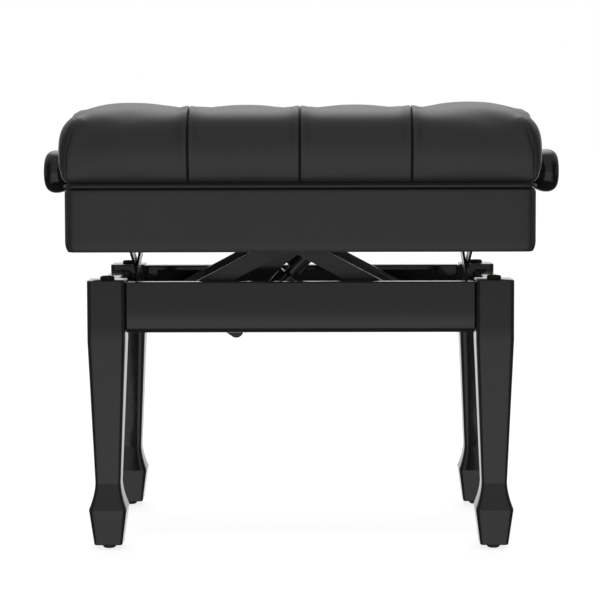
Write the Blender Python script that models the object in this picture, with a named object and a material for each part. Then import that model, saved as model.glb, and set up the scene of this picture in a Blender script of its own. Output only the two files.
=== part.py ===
"""Height-adjustable piano bench: padded seat box on a scissor lift in a frame with spade-foot legs.

Metres, +Z up, front towards -Y. The origin is on the floor, under the middle of the bench.
The seat is modelled a little above its lowest height; every moving piece has its origin,
or its parent empty, on the axis that it turns about.
"""

import math

import bmesh
import bpy
from mathutils import Matrix, Vector

# ---- Fits ------------------------------------------------------------------
GAP = 0.0003            # between faces that touch
SLOT_PLAY = 0.0003      # above and below a shaft in its channel
LINK_PLAY = 0.0013      # round a stabiliser pin that the side links leave a little
SIDE_PLAY = 0.0010      # beside a plate or an eye that turns next to another

# ---- Frame and legs --------------------------------------------------------
FRAME_LENGTH = 0.500
FRAME_DEPTH = 0.300
LEG_WIDTH = 0.045
LEG_TOP = 0.3185
PAD_HEIGHT = 0.0055
PAD_RADIUS = 0.0078
TAPER_TOP = 0.248       # the leg is straight above this height
ANKLE_HEIGHT = 0.0797
ANKLE_WIDTH = 0.0303
SPADE_HEIGHT = 0.0482   # the widest edge of the foot
SPADE_WIDTH = 0.045
SOLE_WIDTH = 0.0335
COVE_STEPS = 6
COVE_POWER = 1.75       # how late the ankle widens into the foot
BUMPER_RADIUS = 0.0085
BUMPER_HEIGHT = 0.004

RAIL_HEIGHT = 0.0598
RAIL_THICKNESS = 0.020
RAIL_SETBACK = 0.006    # front and rear rails behind the legs' faces
RAIL_DROP = 0.0023      # below the legs' tops
SIDE_RAIL_SETBACK = 0.005
SIDE_RAIL_DROP = 0.0065
RAIL_EDGE = 0.001

# ---- Seat box --------------------------------------------------------------
BOX_LENGTH = 0.545
BOX_DEPTH = 0.345
BOX_BOTTOM = 0.3531
PANEL_THICKNESS = 0.015
PANEL_EDGE = 0.004
WALL_HEIGHT = 0.1016
REBATE = 0.006          # depth of the step that holds the piping and the cushion's skirt
SHELF_HEIGHT = 0.0735   # from the box's bottom to that step
PIPING_RADIUS = 0.00225
PIPING_PROUD = 0.00175
ARCH_HALF = 0.105       # half the length of the rise round each knob
ARCH_RISE = 0.053
ARCH_STEPS = 20
BOARD_THICKNESS = 0.012
BATTEN_CLEARANCE = 0.002  # between the battens and the arms
BATTEN_HEIGHT = 0.018

# ---- Cushion ---------------------------------------------------------------
CUSHION_TOP = 0.525
CUSHION_BULGE = 0.011   # beyond the box's faces
CUSHION_WAIST = 0.475   # height of the widest line
SHOULDER = 0.049
SEAM_CORNER = 0.009     # corner radius at the piping
WAIST_CORNER = 0.020
COVER_THICKNESS = 0.002
CORNER_SOFTENING = 0.4  # how much rounder the corners get for each metre drawn in
CORNER_STEPS = 5
SHOULDER_STEPS = 6

# ---- Scissor lift ----------------------------------------------------------
ARM_LENGTH = 0.343      # pivot to pivot
ARM_ANGLE = math.radians(28)
PIVOT_X = -0.165        # the fixed pivots of both pairs
LOWER_PIVOT_Z = 0.2815
ARM_WIDTH = 0.020
ARM_DEPTH = 0.009
ARM_STEEL = 0.0025
OUTER_ARM_FACE = 0.113  # from the mid-plane to the outer arms' outer faces
ARM_SPACING = 0.0005    # between the outer and the inner arm
ARM_CLEARANCE = 0.0007  # between the outer arms and the channels' lips
SHAFT_RADIUS = 0.005
CHANNEL_STEEL = 0.0025
CHANNEL_RUN = 0.025     # channel beyond the fixed pivot
LEDGE_DROP = 0.006      # the lower channels' plates end this far below the rails' tops

SPINDLE_RADIUS = 0.006
SPINDLE_END = 0.2964
NUT_LENGTH = 0.020
NUT_WIDTH = 0.024
THREAD_PLAY = 0.0004
BUSH_RADIUS = 0.009
BUSH_FLANGE_RADIUS = 0.020
BUSH_FLANGE = 0.003
BUSH_PLAY = 0.0003
KNOB_FACE = 0.3180      # outer face of each knob, from the middle
KNOB_RADIUS = 0.0267
KNOB_LENGTH = 0.034
KNOB_NECK = 0.0125
KNOB_FLAT = 0.013
KNOB_BELLY = 0.014      # from the face to the widest line
KNOB_FULLNESS = 1.15    # how late the face's curve turns to the side
KNOB_BORE_DEPTH = 0.014

# ---- Spring strut ----------------------------------------------------------
STRUT_FOOT = (-0.081, 0.245)   # x and z of its pivot on the frame
STRUT_HEAD = (0.062, 0.400)    # x and z of its pivot on the lever
STRUT_RADIUS = 0.0113
STRUT_BORE = 0.008
STRUT_TUBE = 0.0945            # from the foot pivot to the tube's open end
STRUT_BORE_START = 0.022
SLEEVE_GAP = 0.0095            # between tube and sleeve
ROD_RADIUS = 0.005
ROD_OVERLAP = 0.060            # rod inside the tube
EYE_RADIUS = 0.009
STRUT_PIN = 0.004
LEVER_STEEL = 0.004
LEVER_TAIL = (-0.075, 0.294)
LEVER_TAIL_RADIUS = 0.0055
LEVER_HUB_RADIUS = 0.0105
TIE_RADIUS = 0.003
CROSSBAR_WIDTH = 0.027
CROSSBAR_X = -0.1215
CROSSBAR_STEEL = 0.003
EAR_STEEL = 0.003

# ---- Side stabiliser links -------------------------------------------------
LINK_LENGTH = 0.196
LINK_PIVOT_Y = -0.0965
LINK_LOWER_Z = 0.290
LINK_UPPER_Z = 0.3665
LINK_WIDTH = 0.015
LINK_STEEL = 0.003
LINK_LAYER = 0.2005            # from the mid-plane to the inner face of the inner links
LINK_SPACING = 0.0007
LINK_PIN = 0.003
LINK_CHANNEL_HEIGHT = 0.022
LINK_CHANNEL_HALF = 0.1045
LINK_SLOT_END = 0.0985

ROUND_SIDES = 20

# ---- Places worked out from the sizes above --------------------------------
UPPER_PIVOT_Z = LOWER_PIVOT_Z + ARM_LENGTH * math.sin(ARM_ANGLE)
ARM_REACH = ARM_LENGTH * math.cos(ARM_ANGLE)
FREE_PIVOT_X = PIVOT_X + ARM_REACH
CROSSING = (PIVOT_X + ARM_REACH / 2, (LOWER_PIVOT_Z + UPPER_PIVOT_Z) / 2)
INNER_ARM_FACE = OUTER_ARM_FACE - ARM_DEPTH - ARM_SPACING
RAIL_TOP = LEG_TOP - RAIL_DROP
RAIL_INNER_Y = FRAME_DEPTH / 2 - RAIL_SETBACK - RAIL_THICKNESS
SIDE_RAIL_INNER_X = FRAME_LENGTH / 2 - SIDE_RAIL_SETBACK - RAIL_THICKNESS
CHANNEL_BACK = RAIL_INNER_Y - GAP
CHANNEL_LIP = OUTER_ARM_FACE + ARM_CLEARANCE
SHAFT_END = CHANNEL_BACK - CHANNEL_STEEL - GAP
CHANNEL_HALF_HEIGHT = SHAFT_RADIUS + SLOT_PLAY + CHANNEL_STEEL
SHELF_Z = BOX_BOTTOM + SHELF_HEIGHT
WALL_TOP = BOX_BOTTOM + WALL_HEIGHT
BOARD_BOTTOM = WALL_TOP + GAP
BOARD_TOP = BOARD_BOTTOM + BOARD_THICKNESS
PIPING_Z = SHELF_Z + GAP + PIPING_RADIUS
PIPING_INSET = PIPING_RADIUS - PIPING_PROUD
SEAM_Z = PIPING_Z + PIPING_RADIUS + GAP
LINK_OUTER_LAYER = LINK_LAYER + LINK_STEEL + LINK_SPACING
LINK_WEB = LINK_OUTER_LAYER + LINK_STEEL + SIDE_PLAY
LINK_ANGLE = math.asin((LINK_UPPER_Z - LINK_LOWER_Z) / LINK_LENGTH)

# colour, roughness, metallic
FINISHES = {
    "black_lacquer": ((0.012, 0.012, 0.013), 0.12, 0.0),
    "leatherette": ((0.020, 0.021, 0.021), 0.42, 0.0),
    "black_steel": ((0.015, 0.015, 0.016), 0.35, 0.6),
    "bright_steel": ((0.45, 0.45, 0.46), 0.25, 1.0),
    "knob_gloss": ((0.008, 0.008, 0.009), 0.06, 0.0),
    "rubber": ((0.010, 0.010, 0.010), 0.75, 0.0),
    "foam": ((0.70, 0.66, 0.50), 0.90, 0.0),
    "plywood": ((0.42, 0.30, 0.18), 0.60, 0.0),
}


# ---- Helpers ---------------------------------------------------------------
def clear_scene():
    for obj in list(bpy.data.objects):
        bpy.data.objects.remove(obj, do_unlink=True)


def new_material(node, finish):
    colour, roughness, metallic = FINISHES[finish]
    material = bpy.data.materials.new(node)
    material.use_nodes = True
    shader = material.node_tree.nodes["Principled BSDF"]
    shader.inputs["Base Color"].default_value = (*colour, 1)
    shader.inputs["Roughness"].default_value = roughness
    shader.inputs["Metallic"].default_value = metallic
    return material


def add_object(name, bm, finish=None, parent=None, at=(0, 0, 0), turn=(0, 0, 0)):
    """Makes an object of this bmesh; with no finish it is a cutter or a shape to join."""
    bmesh.ops.recalc_face_normals(bm, faces=bm.faces)
    mesh = bpy.data.meshes.new(name)
    bm.to_mesh(mesh)
    bm.free()
    mesh.shade_smooth()
    mesh.set_sharp_from_angle(angle=math.radians(32))
    obj = bpy.data.objects.new(name, mesh)
    bpy.context.scene.collection.objects.link(obj)
    obj.location = Vector(at) - (parent.location if parent else Vector())
    obj.rotation_euler = turn
    obj.parent = parent
    if finish:
        mesh.materials.append(new_material(name, finish))
    else:
        obj.hide_render = True
        obj.display_type = "WIRE"
    return obj


def add_pivot(name, at):
    pivot = bpy.data.objects.new(name, None)
    bpy.context.scene.collection.objects.link(pivot)
    pivot.location = at
    return pivot


def combine(obj, operation, *bodies):
    """Cuts these bodies from the object, or joins them to it, in the object's own frame."""
    for body in bodies:
        body.location = obj.location
        body.rotation_euler = obj.rotation_euler
        body.parent = obj.parent
        modifier = obj.modifiers.new(body.name, "BOOLEAN")
        modifier.operation = operation
        modifier.solver = "EXACT"
        modifier.object = body
    return obj


def cut(obj, *cutters):
    return combine(obj, "DIFFERENCE", *cutters)


def join(obj, *bodies):
    return combine(obj, "UNION", *bodies)


def block(low, high, edge=0.0, edges=None):
    """A box from its lowest to its highest corner; edge rounds the edges that edges() picks."""
    low, high = Vector(low), Vector(high)
    bm = bmesh.new()
    bmesh.ops.create_cube(bm, size=1)
    bmesh.ops.scale(bm, vec=high - low, verts=bm.verts)
    bmesh.ops.translate(bm, vec=(low + high) / 2, verts=bm.verts)
    if edge:
        chosen = [e for e in bm.edges if edges is None or edges(e)]
        bmesh.ops.bevel(bm, geom=chosen, offset=edge, segments=2, profile=0.5, affect="EDGES", material=-1)
    return bm


def cylinder(radius, start, end, sides=ROUND_SIDES):
    start, end = Vector(start), Vector(end)
    way = end - start
    place = Matrix.Translation((start + end) / 2) @ way.to_track_quat("Z", "Y").to_matrix().to_4x4()
    bm = bmesh.new()
    bmesh.ops.create_cone(
        bm, cap_ends=True, segments=sides, radius1=radius, radius2=radius, depth=way.length, matrix=place
    )
    return bm


def extruded(points, way):
    """A prism of the outline that these points give."""
    bm = bmesh.new()
    face = bm.faces.new([bm.verts.new(p) for p in points])
    made = bmesh.ops.extrude_face_region(bm, geom=[face])
    bmesh.ops.translate(bm, vec=way, verts=[v for v in made["geom"] if isinstance(v, bmesh.types.BMVert)])
    return bm


def lofted(rings):
    """A closed body through these rings of points, from the lowest to the highest."""
    bm = bmesh.new()
    loops = []
    for ring in rings:
        verts = [bm.verts.new(p) for p in ring]
        loops.append([bm.edges.new(pair) for pair in zip(verts, verts[1:] + verts[:1])])
    for low, high in zip(loops, loops[1:]):
        bmesh.ops.bridge_loops(bm, edges=low + high)
    for loop in (loops[0], loops[-1]):
        bmesh.ops.contextual_create(bm, geom=loop)
    return bm


def turned(profile, sides=ROUND_SIDES):
    """Turns an open (along, radius) profile about X; its ends lie on the axis."""
    bm = bmesh.new()
    verts = [bm.verts.new((x, 0, r)) for x, r in profile]
    for a, b in zip(verts, verts[1:]):
        bm.edges.new((a, b))
    bmesh.ops.spin(
        bm, geom=bm.verts[:] + bm.edges[:], cent=(0, 0, 0), axis=(1, 0, 0),
        angle=2 * math.pi, steps=sides, use_merge=True,
    )
    bmesh.ops.remove_doubles(bm, verts=bm.verts, dist=1e-6)
    return bm


def stadium(start, end, radius, steps=8):
    """Outline of a bar with round ends, from (a, b) to (c, d), in its own plane."""
    along = math.atan2(end[1] - start[1], end[0] - start[0])
    points = []
    for centre, first in ((end, -90), (start, 90)):
        for i in range(steps + 1):
            angle = along + math.radians(first + 180 * i / steps)
            points.append((centre[0] + radius * math.cos(angle), centre[1] + radius * math.sin(angle)))
    return points


def rounded_rectangle(half_x, half_y, radius, steps=CORNER_STEPS):
    points = []
    for quarter, (sx, sy) in enumerate(((1, 1), (-1, 1), (-1, -1), (1, -1))):
        for i in range(steps + 1):
            angle = math.radians(90 * quarter + 90 * i / steps)
            x = sx * (half_x - radius) + radius * math.cos(angle)
            y = sy * (half_y - radius) + radius * math.sin(angle)
            points.append((x, y))
    return points


# ---- Frame -----------------------------------------------------------------
def leg_profile():
    """Heights and widths of the leg from its sole up: spade foot, cove, ankle and taper."""
    profile = [(PAD_HEIGHT, SOLE_WIDTH)]
    for i in range(COVE_STEPS, -1, -1):
        drop = i / COVE_STEPS
        height = ANKLE_HEIGHT - (ANKLE_HEIGHT - SPADE_HEIGHT) * drop
        profile.append((height, ANKLE_WIDTH + (SPADE_WIDTH - ANKLE_WIDTH) * drop ** COVE_POWER))
    return profile + [(TAPER_TOP, LEG_WIDTH), (LEG_TOP, LEG_WIDTH)]


def leg_mesh(x, y):
    def ring(height, width):
        half = width / 2
        return [(x + sx * half, y + sy * half, height) for sx, sy in ((1, 1), (-1, 1), (-1, -1), (1, -1))]

    return lofted([ring(height, width) for height, width in leg_profile()])


def add_frame():
    leg_x = FRAME_LENGTH / 2 - LEG_WIDTH / 2
    leg_y = FRAME_DEPTH / 2 - LEG_WIDTH / 2
    for place, sy in (("front", -1), ("rear", 1)):
        for side, sx in (("left", -1), ("right", 1)):
            name, x, y = f"{place}_{side}", sx * leg_x, sy * leg_y
            add_object(f"{name}_leg", leg_mesh(x, y), "black_lacquer")
            pad = cylinder(PAD_RADIUS, (x, y, 0), (x, y, PAD_HEIGHT - GAP))
            add_object(f"{name}_foot_pad", pad, "rubber")
            bottom = LEG_TOP + GAP
            bumper = cylinder(BUMPER_RADIUS, (x, y, bottom), (x, y, bottom + BUMPER_HEIGHT))
            add_object(f"{name}_bumper", bumper, "rubber")
        add_end_rail(place, sy)
    for side, sx in (("left", -1), ("right", 1)):
        add_side_rail(side, sx)


def add_end_rail(place, sy):
    half = FRAME_LENGTH / 2 - LEG_WIDTH - GAP
    outer = sy * (RAIL_INNER_Y + RAIL_THICKNESS)
    inner = sy * RAIL_INNER_Y
    low = (-half, min(outer, inner), RAIL_TOP - RAIL_HEIGHT)
    add_object(f"{place}_rail", block(low, (half, max(outer, inner), RAIL_TOP), RAIL_EDGE), "black_lacquer")


def add_side_rail(side, sx):
    half = FRAME_DEPTH / 2 - LEG_WIDTH - GAP
    outer = sx * (SIDE_RAIL_INNER_X + RAIL_THICKNESS)
    inner = sx * SIDE_RAIL_INNER_X
    top = LEG_TOP - SIDE_RAIL_DROP
    low = (min(outer, inner), -half, top - RAIL_HEIGHT)
    add_object(f"{side}_rail", block(low, (max(outer, inner), half, top), RAIL_EDGE), "black_lacquer")


# ---- Seat box --------------------------------------------------------------
def arch_outline(offset, base):
    """The rise round a knob as (y, z) points, moved out by offset, and closed down to base."""
    points = []
    for i in range(ARCH_STEPS + 1):
        y = ARCH_HALF * (2 * i / ARCH_STEPS - 1)
        turn = math.pi * y / ARCH_HALF
        z = SHELF_Z + ARCH_RISE * (1 + math.cos(turn)) / 2
        slope = -ARCH_RISE * math.pi / ARCH_HALF * math.sin(turn) / 2
        length = math.hypot(1, slope)
        points.append((y - offset * slope / length, z + offset / length))
    first, last = points[0], points[-1]
    return [(first[0], base), *points, (last[0], base)]


def add_end_panel(place, sy, seat):
    """Front or rear panel: full thickness up to the step, thinner above it."""
    half = BOX_LENGTH / 2
    inner, outer = sorted((sy * (BOX_DEPTH / 2 - PANEL_THICKNESS), sy * BOX_DEPTH / 2))
    low, high = (-half, inner, BOX_BOTTOM), (half, outer, WALL_TOP)
    panel = block(low, high, PANEL_EDGE, lambda e: on_outer_edge(e, sy))
    body = add_object(f"{place}_panel", panel, "leatherette", seat)
    step_low, step_high = sorted((sy * (BOX_DEPTH / 2 - REBATE), sy * (BOX_DEPTH / 2 + REBATE)))
    over = BOX_LENGTH
    top = WALL_TOP + REBATE
    long_step = block((-over, step_low, SHELF_Z), (over, step_high, top))
    low_y, high_y = sorted((sy * (BOX_DEPTH / 2 - 2 * PANEL_THICKNESS), sy * (BOX_DEPTH / 2 + REBATE)))
    cutters = [add_object(f"{place}_panel_step", long_step)]
    for end, sx in (("left", -1), ("right", 1)):
        low_x, high_x = sorted((sx * (half - REBATE), sx * (half + REBATE)))
        cutters.append(
            add_object(f"{place}_panel_step_{end}", block((low_x, low_y, SHELF_Z), (high_x, high_y, top)))
        )
    return cut(body, *cutters)


def on_outer_edge(edge, sy):
    """Is this edge of an end panel on its outer face, at the bottom or at a corner of the box?"""
    outside = all(abs(v.co.y - sy * BOX_DEPTH / 2) < 1e-6 for v in edge.verts)
    top = all(abs(v.co.z - WALL_TOP) < 1e-6 for v in edge.verts)
    return outside and not top


def add_side_panel(side, sx, seat):
    """Side panel: it rises in an arch round the spindle's hole, and is thinner above the step."""
    half = BOX_DEPTH / 2 - PANEL_THICKNESS - GAP
    outer = BOX_LENGTH / 2
    inner = outer - PANEL_THICKNESS
    step = outer - REBATE
    arch = arch_outline(0, SHELF_Z)[1:-1]
    face = [(-half, BOX_BOTTOM), (-half, SHELF_Z), *arch, (half, SHELF_Z), (half, BOX_BOTTOM)]
    panel = extruded([(sx * step, y, z) for y, z in face], (sx * REBATE, 0, 0))
    body = add_object(f"{side}_panel", panel, "leatherette", seat)
    low, high = sorted((sx * inner, sx * (step + REBATE / 4)))
    wall_high = sx * step if sx > 0 else high
    wall_low = sx * step if sx < 0 else low
    wall = block((wall_low, -half, BOX_BOTTOM + GAP), (wall_high, half, WALL_TOP))
    join(body, add_object(f"{side}_panel_wall", wall))
    hole_start, hole_end = sx * (inner - REBATE), sx * (outer + REBATE)
    hole = cylinder(BUSH_RADIUS + GAP, (hole_start, 0, UPPER_PIVOT_Z), (hole_end, 0, UPPER_PIVOT_Z))
    return cut(body, add_object(f"{side}_panel_hole", hole))


def add_board(seat):
    half_x = BOX_LENGTH / 2 - REBATE - GAP
    half_y = BOX_DEPTH / 2 - REBATE - GAP
    board = block((-half_x, -half_y, BOARD_BOTTOM), (half_x, half_y, BOARD_TOP))
    add_object("seat_board", board, "plywood", seat)


def add_battens(seat):
    """The strips inside the box that come down on the legs' bumpers."""
    half = BOX_LENGTH / 2 - PANEL_THICKNESS - GAP
    wall = BOX_DEPTH / 2 - PANEL_THICKNESS - GAP
    for place, sy in (("front", -1), ("rear", 1)):
        low_y, high_y = sorted((sy * wall, sy * (OUTER_ARM_FACE + BATTEN_CLEARANCE)))
        bar = block((-half, low_y, BOX_BOTTOM), (half, high_y, BOX_BOTTOM + BATTEN_HEIGHT))
        add_object(f"{place}_batten", bar, "plywood", seat)


# ---- Cushion and piping ----------------------------------------------------
def cushion_body(inset, bottom):
    """The cushion's outer shape, drawn in by inset: sides that bulge, and a rounded shoulder."""
    half_x = BOX_LENGTH / 2 + CUSHION_BULGE - inset
    half_y = BOX_DEPTH / 2 + CUSHION_BULGE - inset
    top = CUSHION_TOP - inset
    shoulder = SHOULDER - inset
    rings = [(bottom, -CUSHION_BULGE, SEAM_CORNER), (SEAM_Z, -CUSHION_BULGE, SEAM_CORNER)]
    for i in range(1, 3):
        rise = i / 3
        radius = SEAM_CORNER + (WAIST_CORNER - SEAM_CORNER) * rise
        grow = CUSHION_BULGE * (math.sin(math.pi / 2 * rise) - 1)
        rings.append((SEAM_Z + (CUSHION_WAIST - SEAM_Z) * rise, grow, radius))
    for i in range(SHOULDER_STEPS + 1):
        t = math.pi / 2 * i / SHOULDER_STEPS
        drawn_in = shoulder * (1 - math.cos(t))
        radius = WAIST_CORNER + drawn_in * CORNER_SOFTENING
        rings.append((CUSHION_WAIST + (top - CUSHION_WAIST) * math.sin(t), -drawn_in, radius))
    loops = []
    for z, grow, radius in rings:
        loops.append([(x, y, z) for x, y in rounded_rectangle(half_x + grow, half_y + grow, radius)])
    return lofted(loops)


def add_cushion(seat):
    """The foam on the board and over the box's upper walls, and the cover around it."""
    foam = add_object("seat_foam", cushion_body(COVER_THICKNESS + GAP, SEAM_Z), "foam", seat)
    cover = add_object("cushion_cover", cushion_body(0, SEAM_Z), "leatherette", seat)
    half_x = BOX_LENGTH / 2 - REBATE + GAP
    half_y = BOX_DEPTH / 2 - REBATE + GAP
    core = block((-half_x, -half_y, BOX_BOTTOM), (half_x, half_y, BOARD_TOP + GAP))
    inside = cushion_body(COVER_THICKNESS, BOX_BOTTOM)
    cut(foam, add_object("foam_core", core))
    cut(cover, add_object("cover_inside", inside))
    clear = 2 * (PIPING_RADIUS + GAP)
    for side, sx in (("left", -1), ("right", 1)):
        start = sx * (BOX_LENGTH / 2 - 2 * REBATE)
        notch = [(start, y, z) for y, z in arch_outline(clear, BOX_BOTTOM)]
        way = (sx * (2 * REBATE + 3 * CUSHION_BULGE), 0, 0)
        cut(foam, add_object(f"foam_notch_{side}", extruded(notch, way)))
        cut(cover, add_object(f"cover_notch_{side}", extruded(notch, way)))


def piping_path():
    """The piping's centre line: round the box, and up over the arch at each side."""
    half_x = BOX_LENGTH / 2 - PIPING_INSET
    half_y = BOX_DEPTH / 2 - PIPING_INSET
    right = [Vector((half_x, y, z)) for y, z in arch_outline(PIPING_RADIUS + GAP, 0)[1:-1]]
    left = [Vector((-p.x, -p.y, p.z)) for p in right]
    corner = PANEL_EDGE + PIPING_RADIUS
    quarter = rounded_rectangle(half_x, half_y, corner, 3)
    size = len(quarter) // 4
    corners = [[Vector((x, y, PIPING_Z)) for x, y in quarter[i * size:(i + 1) * size]] for i in range(4)]
    return right + corners[0] + corners[1] + left + corners[2] + corners[3]


def add_piping(seat):
    curve = bpy.data.curves.new("piping", "CURVE")
    curve.dimensions = "3D"
    curve.bevel_depth = PIPING_RADIUS
    curve.bevel_resolution = 1
    points = piping_path()
    spline = curve.splines.new("POLY")
    spline.points.add(len(points) - 1)
    for point, place in zip(spline.points, points):
        point.co = (*place, 1)
    spline.use_cyclic_u = True
    piping = bpy.data.objects.new("piping", curve)
    piping.parent = seat
    piping.location = -seat.location
    curve.materials.append(new_material("piping", "leatherette"))
    bpy.context.scene.collection.objects.link(piping)


# ---- Scissor lift ----------------------------------------------------------
def pressed_arm(start, end, face, sy):
    """A pressed steel arm: a bar with round ends and a rim that points to the mid-plane."""
    outline = [(x, sy * face, z) for x, z in stadium((start, 0), (end, 0), ARM_WIDTH / 2)]
    bm = bmesh.new()
    plate = bm.faces.new([bm.verts.new(p) for p in outline])
    made = bmesh.ops.extrude_face_region(bm, geom=[plate])["geom"]
    rim = [g for g in made if isinstance(g, bmesh.types.BMVert)]
    bmesh.ops.translate(bm, vec=(0, -sy * ARM_DEPTH, 0), verts=rim)
    back = next(g for g in made if isinstance(g, bmesh.types.BMFace))
    bmesh.ops.recalc_face_normals(bm, faces=bm.faces)
    bmesh.ops.inset_region(bm, faces=[back], thickness=ARM_STEEL, use_even_offset=True)
    floor = bmesh.ops.extrude_face_region(bm, geom=[back])["geom"]
    bmesh.ops.delete(bm, geom=[back], context="FACES_ONLY")
    moved = [g for g in floor if isinstance(g, bmesh.types.BMVert)]
    bmesh.ops.translate(bm, vec=(0, sy * (ARM_DEPTH - ARM_STEEL), 0), verts=moved)
    return bm


def shaft_hole(name, x, sy):
    reach = sy * FRAME_DEPTH / 2
    return add_object(name, cylinder(SHAFT_RADIUS + GAP, (x, 0, 0), (x, reach, 0)))


def add_arms(lift, cross):
    for place, sy in (("front", -1), ("rear", 1)):
        outer = add_object(
            f"{place}_outer_arm", pressed_arm(0, ARM_LENGTH, OUTER_ARM_FACE, sy), "black_steel",
            lift, lift.location, (0, -ARM_ANGLE, 0),
        )
        for end, x in (("low", 0), ("middle", ARM_LENGTH / 2), ("high", ARM_LENGTH)):
            cut(outer, shaft_hole(f"{place}_outer_arm_{end}", x, sy))
        inner = add_object(
            f"{place}_inner_arm", pressed_arm(-ARM_LENGTH / 2, ARM_LENGTH / 2, INNER_ARM_FACE, sy),
            "black_steel", cross, cross.location, (0, ARM_ANGLE, 0),
        )
        for end, x in (("high", -ARM_LENGTH / 2), ("middle", 0), ("low", ARM_LENGTH / 2)):
            cut(inner, shaft_hole(f"{place}_inner_arm_{end}", x, sy))


def channel(x_low, x_high, z, sy, plate_z):
    """A steel channel that guides the shafts' ends, with its back plate carried to plate_z."""
    back, lip = sy * CHANNEL_BACK, sy * CHANNEL_LIP
    web = sy * (CHANNEL_BACK - CHANNEL_STEEL)
    outside, inside = CHANNEL_HALF_HEIGHT, CHANNEL_HALF_HEIGHT - CHANNEL_STEEL
    outline = [
        (back, z - outside), (lip, z - outside), (lip, z - inside), (web, z - inside),
        (web, z + inside), (lip, z + inside), (lip, z + outside), (web, z + outside),
        (web, plate_z), (back, plate_z),
    ]
    return extruded([(x_low, y, h) for y, h in outline], (x_high - x_low, 0, 0))


def add_channels(seat):
    low, high = PIVOT_X - CHANNEL_RUN, PIVOT_X + ARM_LENGTH
    for place, sy in (("front", -1), ("rear", 1)):
        lower = channel(low, high, LOWER_PIVOT_Z, sy, RAIL_TOP - LEDGE_DROP)
        add_object(f"{place}_lower_channel", lower, "black_steel")
        upper = channel(low, high, UPPER_PIVOT_Z, sy, WALL_TOP)
        add_object(f"{place}_upper_channel", upper, "black_steel", seat)


def add_shafts(lift, cross, seat):
    def across(name, x, z, start, end, parent):
        add_object(name, cylinder(SHAFT_RADIUS, (x, start, z), (x, end, z), 16), "bright_steel", parent)

    across("lower_pivot_shaft", PIVOT_X, LOWER_PIVOT_Z, -SHAFT_END, SHAFT_END, None)
    across("lower_slide_shaft", FREE_PIVOT_X, LOWER_PIVOT_Z, -SHAFT_END, SHAFT_END, cross)
    across("centre_shaft", *CROSSING, -OUTER_ARM_FACE, OUTER_ARM_FACE, lift)
    nut_side = NUT_WIDTH / 2 + GAP
    stub = INNER_ARM_FACE - ARM_DEPTH - SIDE_PLAY
    for place, sy in (("front", -1), ("rear", 1)):
        across(f"{place}_nut_shaft", FREE_PIVOT_X, UPPER_PIVOT_Z, sy * nut_side, sy * SHAFT_END, lift)
        across(f"{place}_upper_pivot", PIVOT_X, UPPER_PIVOT_Z, sy * stub, sy * SHAFT_END, seat)


# ---- Spindle and knobs -----------------------------------------------------
def knob_profile():
    """From the outer face in: flat face, bun, neck and the bore for the spindle's end."""
    face, back = 0.0, KNOB_LENGTH
    bore = KNOB_LENGTH - KNOB_BORE_DEPTH
    belly = KNOB_BELLY
    points = [(face, 0), (face, KNOB_FLAT)]
    for i in range(1, 6):
        t = math.pi / 2 * i / 5
        radius = KNOB_FLAT + (KNOB_RADIUS - KNOB_FLAT) * math.sin(t)
        points.append((belly * (1 - math.cos(t)) ** KNOB_FULLNESS, radius))
    for i in range(1, 5):
        t = math.pi / 2 * i / 4
        radius = KNOB_NECK + (KNOB_RADIUS - KNOB_NECK) * math.cos(t)
        points.append((belly + (back - belly) * math.sin(t), radius))
    hole = SPINDLE_RADIUS + GAP
    return points + [(back, hole), (bore, hole), (bore, 0)]


def add_spindle(spindle, nut, seat):
    z = UPPER_PIVOT_Z
    shaft = cylinder(SPINDLE_RADIUS, (-SPINDLE_END, 0, z), (SPINDLE_END, 0, z))
    add_object("spindle", shaft, "bright_steel", spindle)
    half = NUT_LENGTH / 2
    low = (FREE_PIVOT_X - half, -NUT_WIDTH / 2, z - half)
    high = (FREE_PIVOT_X + half, NUT_WIDTH / 2, z + half)
    body = add_object("drive_nut", block(low, high, 0.001), "bright_steel", nut)
    bore = cylinder(SPINDLE_RADIUS + THREAD_PLAY, (low[0] - half, 0, z), (high[0] + half, 0, z))
    cut(body, add_object("drive_nut_bore", bore))
    for side, sx in (("left", -1), ("right", 1)):
        turn = (0, 0, 0) if sx < 0 else (0, 0, math.pi)
        add_object(
            f"{side}_knob", turned(knob_profile(), 28), "knob_gloss", spindle, (sx * KNOB_FACE, 0, z), turn
        )
        add_bearing(side, sx, z, seat)


def add_bearing(side, sx, z, seat):
    """Flanged bush in the side panel that the spindle turns in."""
    outer = BOX_LENGTH / 2
    inner = outer - PANEL_THICKNESS
    flange = outer + GAP
    hole = SPINDLE_RADIUS + BUSH_PLAY
    profile = [
        (inner, hole), (inner, BUSH_RADIUS), (flange, BUSH_RADIUS), (flange, BUSH_FLANGE_RADIUS),
        (flange + BUSH_FLANGE, BUSH_FLANGE_RADIUS), (flange + BUSH_FLANGE, hole), (inner, hole),
    ]
    turn = (0, 0, 0) if sx > 0 else (0, 0, math.pi)
    add_object(f"{side}_spindle_bearing", turned(profile), "black_steel", seat, (0, 0, z), turn)


# ---- Spring strut ----------------------------------------------------------
def strut_angle():
    return math.atan2(STRUT_HEAD[1] - STRUT_FOOT[1], STRUT_HEAD[0] - STRUT_FOOT[0])


def strut_length():
    return math.hypot(STRUT_HEAD[1] - STRUT_FOOT[1], STRUT_HEAD[0] - STRUT_FOOT[0])


def eye(name, centre):
    width = STRUT_RADIUS
    return add_object(name, cylinder(EYE_RADIUS, (centre, -width, 0), (centre, width, 0)))


def eye_hole(name, centre):
    width = 2 * STRUT_RADIUS
    return add_object(name, cylinder(STRUT_PIN + GAP, (centre, -width, 0), (centre, width, 0)))


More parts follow.
